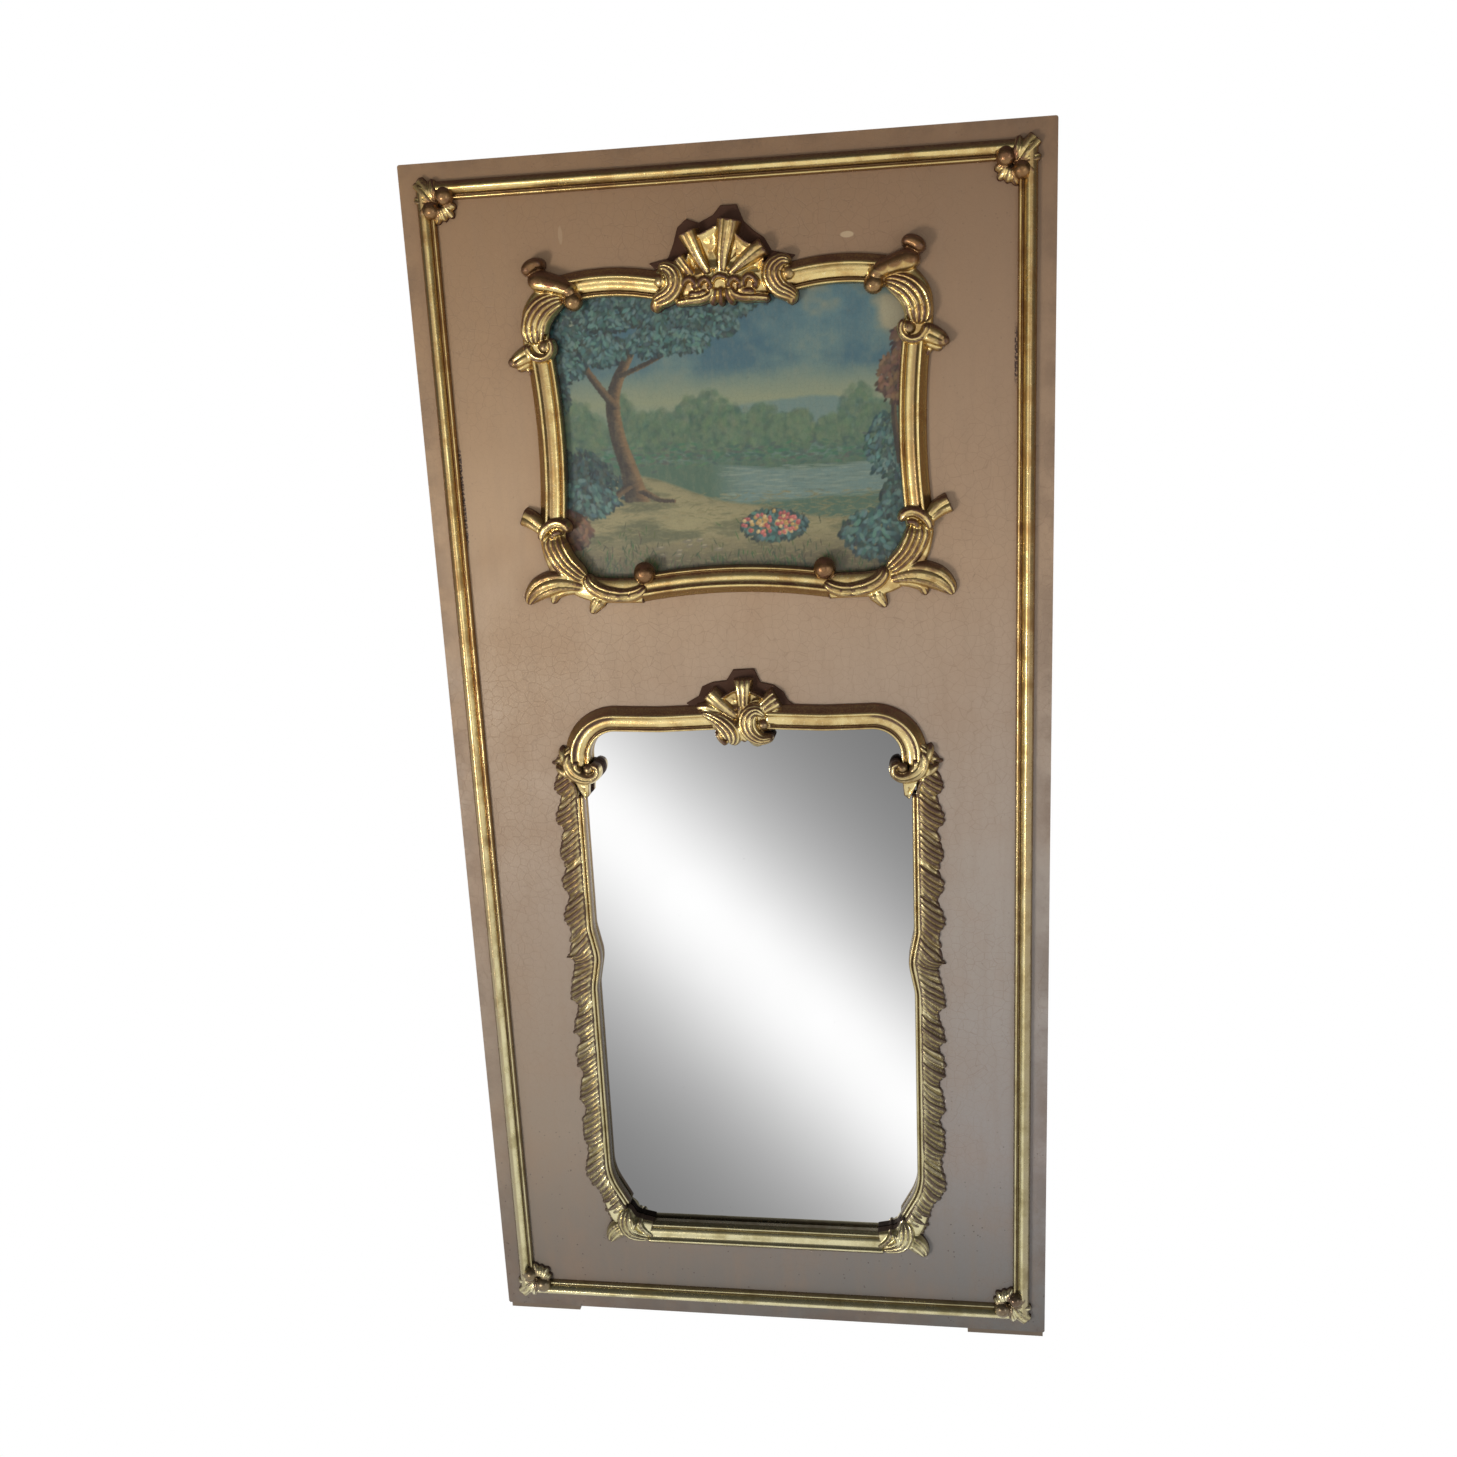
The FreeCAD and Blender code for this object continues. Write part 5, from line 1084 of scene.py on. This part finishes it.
class Canvas:
    """A layer of paint on a grid, worked over with washes, dabs and strokes."""

    def __init__(self, left, right, low, high, step, seed):
        self.left, self.low, self.step = left, low, step
        self.columns = int(round((right - left) / step)) + 1
        self.rows = int(round((high - low) / step)) + 1
        self.x, self.z = np.meshgrid(left + step * np.arange(self.columns),
                                     low + step * np.arange(self.rows))
        self.paint = np.zeros((self.rows, self.columns, 3))
        self.draw = random.Random(seed)
        self.lattice = np.random.RandomState(seed)

    def clouds(self, across, tall, octaves=4):
        """Soft noise between 0 and 1 with cells of the given size."""
        total, weight = 0.0, 0.0
        for k in range(octaves):
            u = (self.x - self.left) / across * 2 ** k
            v = (self.z - self.low) / tall * 2 ** k
            table = self.lattice.rand(int(v.max()) + 3, int(u.max()) + 3)
            i, j = v.astype(int), u.astype(int)
            a, b = v - i, u - j
            a, b = a * a * (3 - 2 * a), b * b * (3 - 2 * b)
            top = table[i + 1, j] * (1 - b) + table[i + 1, j + 1] * b
            low = table[i, j] * (1 - b) + table[i, j + 1] * b
            total = total + (low * (1 - a) + top * a) / 1.8 ** k
            weight += 1 / 1.8 ** k
        return total / weight

    def wash(self, share, colour):
        """Colour laid where share is above nothing."""
        share = np.clip(share, 0, 1)[..., None]
        self.paint += (np.array(colour, float) - self.paint) * share

    def dab(self, x, z, long, short, angle, colour, cover=1.0):
        """One touch of the brush, an ellipse with a soft edge."""
        reach = int(max(long, short) / self.step) + 2
        j, i = int((x - self.left) / self.step), int((z - self.low) / self.step)
        rows = slice(max(i - reach, 0), max(min(i + reach + 1, self.rows), 0))
        columns = slice(max(j - reach, 0), max(min(j + reach + 1, self.columns), 0))
        dx, dz = self.x[rows, columns] - x, self.z[rows, columns] - z
        if not dx.size:
            return
        c, s = math.cos(angle), math.sin(angle)
        along, across = (dx * c + dz * s) / long, (dz * c - dx * s) / short
        share = np.clip((1 - np.hypot(along, across)) * 2.2, 0, 1)[..., None] * cover
        patch = self.paint[rows, columns]
        patch += (np.array(colour, float) - patch) * share

    def limb(self, points, shade, light):
        """A trunk or branch through (x, z, width), lit from the right."""
        for x, z, width in catmull(points, 1.2):
            for k in range(5):
                u = -0.5 + k / 4
                mix = max(0.0, u + 0.2) + self.draw.uniform(-0.1, 0.1)
                colour = [a + (b - a) * mix for a, b in zip(shade, light)]
                self.dab(x + u * width * 0.8, z + self.draw.uniform(-1, 1), 2.4,
                         max(width * 0.22, 1.1), 1.5, colour, 0.8)

    def leaves(self, x, z, across, tall, count, long, tones, round_=0.5, cover=0.9):
        """A mass of leaves: the dark ones first, the light ones last and higher."""
        for k in range(count):
            share = k / count
            r, a = math.sqrt(self.draw.random()), self.draw.uniform(0, 2 * math.pi)
            px = x + across * r * math.cos(a) + share * across * 0.12
            pz = z + tall * r * math.sin(a) + share * tall * 0.16
            way = self.draw.gauss(-0.9 if px > x else -2.2, 0.6)
            place = min(share * (len(tones) - 1) + self.draw.uniform(-0.4, 0.4),
                        len(tones) - 1.001)
            place = max(place, 0.0)
            a, b = tones[int(place)], tones[int(place) + 1]
            colour = [p + (q - p) * (place % 1) + self.draw.uniform(-7, 7)
                      for p, q in zip(a, b)]
            size = long * self.draw.uniform(0.7, 1.2)
            self.dab(px, pz, size, size * round_, way, colour, cover)


NEAR_LEAF = ((16, 32, 32), (24, 44, 44), (32, 58, 58), (48, 80, 80), (96, 130, 124))
WARM_LEAF = ((36, 28, 24), (62, 42, 32), (92, 62, 46), (128, 96, 70))
FAR_LEAF = ((48, 76, 68), (62, 90, 74), (80, 106, 82), (104, 124, 94))


def paint_landscape():
    """A wooded bank over still water, with a tree on the left and hills on the right."""
    c = Canvas(-246, 246, 1143, 1539, 1.0, 5)
    x, z = c.x, c.z
    c.paint[:] = (104, 126, 118)
    c.wash((z - 1400) / 150, (74, 112, 126))
    puffs = c.clouds(120, 84, 5)
    puffs = (puffs - puffs.mean()) / puffs.std()
    aloft = np.clip((z - 1385) / 50, 0, 1)
    c.wash(np.clip(-puffs * 0.5, 0, 0.7) * aloft, (50, 88, 106))
    c.wash(np.clip(puffs * 1.1, 0, 0.85) * aloft, (128, 134, 118))
    c.wash(np.clip(puffs * 1.3 - 0.9, 0, 0.8) * aloft, (168, 158, 128))
    c.wash(1 - np.abs(z - 1388) / 40, (136, 144, 116))
    rough = c.clouds(46, 30, 4)
    for base, height, shift, colour in ((1372, 26, 0.4, (104, 128, 122)),
                                        (1360, 18, 2.1, (92, 118, 106))):
        crest = base + height * np.sin(x / 84 + shift) * 0.6 + (rough - 0.5) * 18
        c.wash((crest - z) / 5, colour)
    for k in range(15):
        px = -210 + k * 31 + c.draw.uniform(-8, 8)
        tall = c.draw.uniform(20, 42) * (0.75 if 40 < px < 150 else 1.1)
        c.leaves(px, 1332 + tall * 0.5, c.draw.uniform(18, 30), tall, 330, 6.5, FAR_LEAF, 0.8,
                 0.3)
    c.wash((1316 + (rough - 0.5) * 16 - z) / 9, (74, 100, 82))
    for k in range(520):
        px = c.draw.uniform(-246, 246)
        c.dab(px, 1318 + c.draw.gauss(0, 7), 6, 2.2, c.draw.uniform(-0.4, 0.4),
              (62 + c.draw.uniform(-10, 22), 92 + c.draw.uniform(-10, 22), 80), 0.7)
    shore = 1306 - 8 * np.sin(x / 60)
    water = np.clip((shore - z) / 4, 0, 1) * np.clip((z - 1252 - (x - 40) * 0.06) / 6, 0, 1)
    c.wash(water * np.clip((x + 30) / 50, 0, 1), (104, 128, 122))
    for k in range(420):
        px, pz = c.draw.uniform(-10, 246), c.draw.uniform(1258, 1302)
        glint = c.draw.random()
        c.dab(px, pz, c.draw.uniform(7, 16), 1.1, 0,
              (84 + 60 * glint, 108 + 48 * glint, 104 + 34 * glint), 0.5)
    earth = c.clouds(60, 14, 5)
    bank = 1266 + 26 * np.tanh((-x - 20) / 60) + 6 * np.sin(x / 28)
    c.wash((bank - z) / 4, (134, 128, 94))
    c.wash(np.clip((bank - z - 4) / 12, 0, 1) * (earth - 0.35) * 3, (150, 142, 104))
    c.wash((0.5 - earth) * 6 * (bank - z > 2), (96, 98, 70))
    c.wash((1216 - z + (earth - 0.5) * 50) / 40, (100, 92, 68))
    for k in range(1500):
        px, pz = c.draw.uniform(-246, 246), c.draw.uniform(1150, 1268)
        green = c.draw.random()
        c.dab(px, pz, c.draw.uniform(4, 9), 1.2, c.draw.gauss(0.0, 0.25),
              (104 + 44 * green, 102 + 34 * green, 70 + 26 * green), 0.45)
    for k in range(900):
        px = c.draw.uniform(-246, 246)
        pz = 1150 + abs(c.draw.gauss(0, 26)) + 10 * math.sin(px / 30)
        c.dab(px, pz, c.draw.uniform(4, 8), 1.0, math.pi / 2 + c.draw.gauss(0, 0.4),
              (44 + c.draw.uniform(0, 40), 62 + c.draw.uniform(0, 38), 50), 0.8)
    for y in range(3):
        c.leaves(-214 + 12 * y, 1300 - 14 * y, 44, 30, 260, 5.5, NEAR_LEAF[:4])
    c.limb([(-128, 1262, 30), (-136, 1300, 22), (-150, 1350, 18), (-152, 1400, 16),
            (-128, 1450, 12), (-104, 1490, 8)], (50, 42, 34), (150, 118, 78))
    c.limb([(-150, 1384, 12), (-182, 1428, 9), (-206, 1470, 6)], (48, 42, 34), (126, 98, 66))
    c.limb([(-140, 1424, 9), (-88, 1446, 6), (-44, 1472, 4)], (48, 42, 34), (126, 98, 66))
    c.limb([(-140, 1280, 12), (-164, 1266, 8), (-186, 1262, 4)], (50, 42, 34), (120, 96, 66))
    c.limb([(-120, 1274, 12), (-98, 1262, 8), (-78, 1260, 4)], (56, 46, 36), (140, 110, 74))
    for px, pz, across, tall, count in (
            (-212, 1490, 46, 34, 560), (-152, 1508, 52, 30, 620), (-88, 1506, 48, 28, 560),
            (-36, 1500, 40, 24, 420), (10, 1508, 32, 18, 300), (-218, 1440, 32, 24, 330),
            (-164, 1456, 34, 20, 330), (-98, 1462, 36, 18, 320), (-52, 1462, 30, 15, 240),
            (-232, 1396, 20, 22, 170), (-6, 1478, 22, 13, 150), (44, 1516, 26, 11, 150)):
        c.leaves(px, pz, across, tall, int(count * 1.3), 5.0, NEAR_LEAF)
    c.leaves(-206, 1262, 46, 26, 420, 6.2, NEAR_LEAF)
    c.leaves(-226, 1222, 30, 26, 300, 6.0, WARM_LEAF)
    c.leaves(196, 1206, 56, 34, 620, 6.6, NEAR_LEAF)
    c.leaves(224, 1252, 30, 30, 320, 6.2, NEAR_LEAF)
    c.leaves(214, 1318, 40, 44, 420, 5.6, NEAR_LEAF[1:])
    c.limb([(222, 1300, 9), (214, 1370, 6), (226, 1420, 4)], (50, 42, 34), (120, 94, 62))
    c.leaves(222, 1404, 30, 34, 330, 5.8, WARM_LEAF)
    c.leaves(232, 1448, 22, 26, 200, 5.8, WARM_LEAF)
    c.leaves(52, 1222, 44, 21, 420, 5.6, NEAR_LEAF)
    for k in range(78):
        r, a = math.sqrt(c.draw.random()), c.draw.uniform(0, 2 * math.pi)
        px, pz = 50 + 38 * r * math.cos(a), 1227 + 16 * r * math.sin(a)
        tone = c.draw.choice(((158, 74, 72), (182, 100, 92), (176, 140, 80), (202, 170, 118)))
        c.dab(px, pz, 3.8, 3.2, a, tone, 0.95)
        c.dab(px + 0.9, pz + 1.0, 1.7, 1.3, a, [min(v + 34, 225) for v in tone], 0.8)
    for k in range(9):
        px, pz = -70 + c.draw.uniform(-40, 50), 1196 + c.draw.uniform(-12, 12)
        c.dab(px, pz, c.draw.uniform(5, 9), 3.4, 0.1, (118, 112, 92), 0.9)
        c.dab(px + 1, pz + 1.2, 4, 1.3, 0.1, (156, 148, 118), 0.8)
    return c


def painted_picture(material):
    """The picture board: its painted face carries the landscape as a colour at each point."""
    c = paint_landscape()
    count = c.rows * c.columns
    skin = np.stack([c.x, np.full_like(c.x, 8.0), c.z], -1).reshape(-1, 3)
    index = np.arange(count).reshape(c.rows, c.columns)
    quads = np.stack([index[:-1, :-1], index[:-1, 1:], index[1:, 1:], index[1:, :-1]],
                     -1).reshape(-1, 4)
    rim = np.concatenate([index[0, :-1], index[:-1, -1], index[-1, :0:-1], index[:0:-1, 0]])
    back = skin[rim].copy()
    back[:, 1] = 12.0
    behind = count + np.arange(len(rim))
    sides = np.stack([rim, behind, np.roll(behind, -1), np.roll(rim, -1)], -1)
    faces = [tuple(f) for f in quads.tolist() + sides.tolist()] + [tuple(behind[::-1].tolist())]
    item = make_object("picture_board_painted", np.concatenate([skin, back]).tolist(), faces)
    colour = np.ones((count + len(rim), 4))
    shown = c.paint.reshape(-1, 3) / 255
    colour[:count, :3] = ((shown + 0.055) / 1.055) ** 2.4
    colour[count:, :3] = (0.22, 0.15, 0.09)
    layer = item.data.color_attributes.new("paint", "FLOAT_COLOR", "POINT")
    layer.data.foreach_set("color", colour.astype(np.float32).ravel())
    settle(item, material, "painted_board")


# ------------------------------------------------------------------ stage and lights

def build_stage():
    """A pale floor that takes shadows and shows white itself."""
    size = 14.0
    count = 12
    vertices = [((-0.5 + i / count) * size / MM, (-0.5 + j / count) * size / MM, -0.5)
                for j in range(count + 1) for i in range(count + 1)]
    faces = [(j * (count + 1) + i, j * (count + 1) + i + 1, (j + 1) * (count + 1) + i + 1,
              (j + 1) * (count + 1) + i) for j in range(count) for i in range(count)]
    floor = make_object("studio_floor", vertices, faces)
    n = Nodes("studio_floor")
    path = n.node("LightPath").outputs
    seen_rays = n.math("MAXIMUM", path["Is Camera Ray"],
                       n.math("MAXIMUM", path["Is Glossy Ray"], path["Is Transmission Ray"]))
    plain = n.node("BsdfDiffuse")
    n.feed(plain.inputs["Color"], n.mix(n.ramp(n.noise(3, 2), 0.3, 0.7), srgb(238, 238, 238),
                                         srgb(244, 244, 244)))
    glow = n.node("Emission")
    glow.inputs["Color"].default_value = (1, 1, 1, 1)
    n.feed(n.out.inputs[0], n.blend(seen_rays, plain.outputs[0], glow.outputs[0]))
    floor.data.materials.append(n.owner)


def build_world():
    """White to the camera; to reflections bright in front and low, dim above and aside."""
    n = Nodes("studio", world=True)
    bpy.context.scene.world = n.owner

    def backdrop(strength, colour):
        item = n.node("Background")
        item.inputs["Color"].default_value = (*colour, 1)
        n.feed(item.inputs["Strength"], strength)
        return item.outputs[0]

    path = n.node("LightPath").outputs
    low = n.ramp(n.axis(n.coords, "Z"), 0.05, 0.5, 1.0, 0.18)
    front = n.ramp(n.axis(n.coords, "Y"), -0.8, -0.2, 1.0, 0.2)
    mirrored_room = backdrop(n.math("MULTIPLY", low, front), (1, 1, 1))
    soft = backdrop(0.42, (1, 0.98, 0.95))
    rest = n.blend(n.math("MAXIMUM", path["Is Glossy Ray"], path["Is Transmission Ray"]),
                   soft, mirrored_room)
    n.feed(n.out.inputs[0], n.blend(path["Is Camera Ray"], rest, backdrop(1.0, (1, 1, 1))))


def add_lamp(name, place, aim, width, power, colour):
    """A round soft lamp, width in metres and power in watts."""
    data = bpy.data.lights.new(name, "AREA")
    data.shape = "DISK"
    data.size = width
    data.energy = power
    data.color = colour
    lamp = bpy.data.objects.new(name, data)
    bpy.context.scene.collection.objects.link(lamp)
    lamp.location = place
    way = Vector(aim) - Vector(place)
    lamp.rotation_euler = way.to_track_quat("-Z", "Y").to_euler()


# ------------------------------------------------------------------ assembly

bpy.context.scene.view_settings.view_transform = "Standard"
add_camera()
build_stage()
build_world()
add_lamp("key", (-1.5, -2.3, 0.3), (0, 0, 1.0), 0.6, 34, (1.0, 0.93, 0.84))
add_lamp("fill", (2.2, -2.4, 0.9), (0, 0, 0.7), 1.2, 8, (0.84, 0.92, 1.0))

GILT = gilding_material()
PAINT = painted_material()
PINE_Z = wood_material("frame_pine_upright", srgb(150, 112, 72), srgb(196, 160, 112), "z")
PINE_X = wood_material("frame_pine_cross", srgb(146, 108, 70), srgb(192, 156, 108), "x")
BACKING = wood_material("back_board_wood", srgb(120, 88, 58), srgb(164, 128, 88), "z")
OAK = wood_material("oak_peg", srgb(104, 72, 42), srgb(150, 112, 70), "x")
BRASS = metal_material("aged_brass", srgb(198, 160, 90), srgb(120, 88, 48), 0.3, 0.5)
STEEL = metal_material("old_screw_steel", srgb(150, 146, 140), srgb(96, 84, 74), 0.35, 0.55)
GLASS = mirror_material()
PICTURE = picture_material()

# The first word that a node's name holds says what the node is made of; the rest is gilt.
NODE_MATERIALS = (
    ("facing", PAINT), ("carcass_stile", PINE_Z), ("carcass_rail", PINE_X),
    ("batten_top", PINE_X), ("batten_bottom", PINE_X), ("batten", PINE_Z), ("screws", STEEL),
    ("back_board", BACKING), ("frame_pegs", OAK), ("hanger", BRASS),
    ("mirror_glass", GLASS), ("painted_board", PICTURE), ("", GILT),
)
for node_name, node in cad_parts.items():
    material = next(made_of for word, made_of in NODE_MATERIALS if word in node_name)
    node.data.materials.clear()
    node.data.materials.append(material)

build_mouldings(GILT)
corner_sprays(GILT)
picture_corners(GILT)
picture_crest(GILT)
mirror_top(GILT)
mirror_crest(GILT)
mirror_low_corners(GILT)
leaf_borders(GILT)
painted_picture(PICTURE)
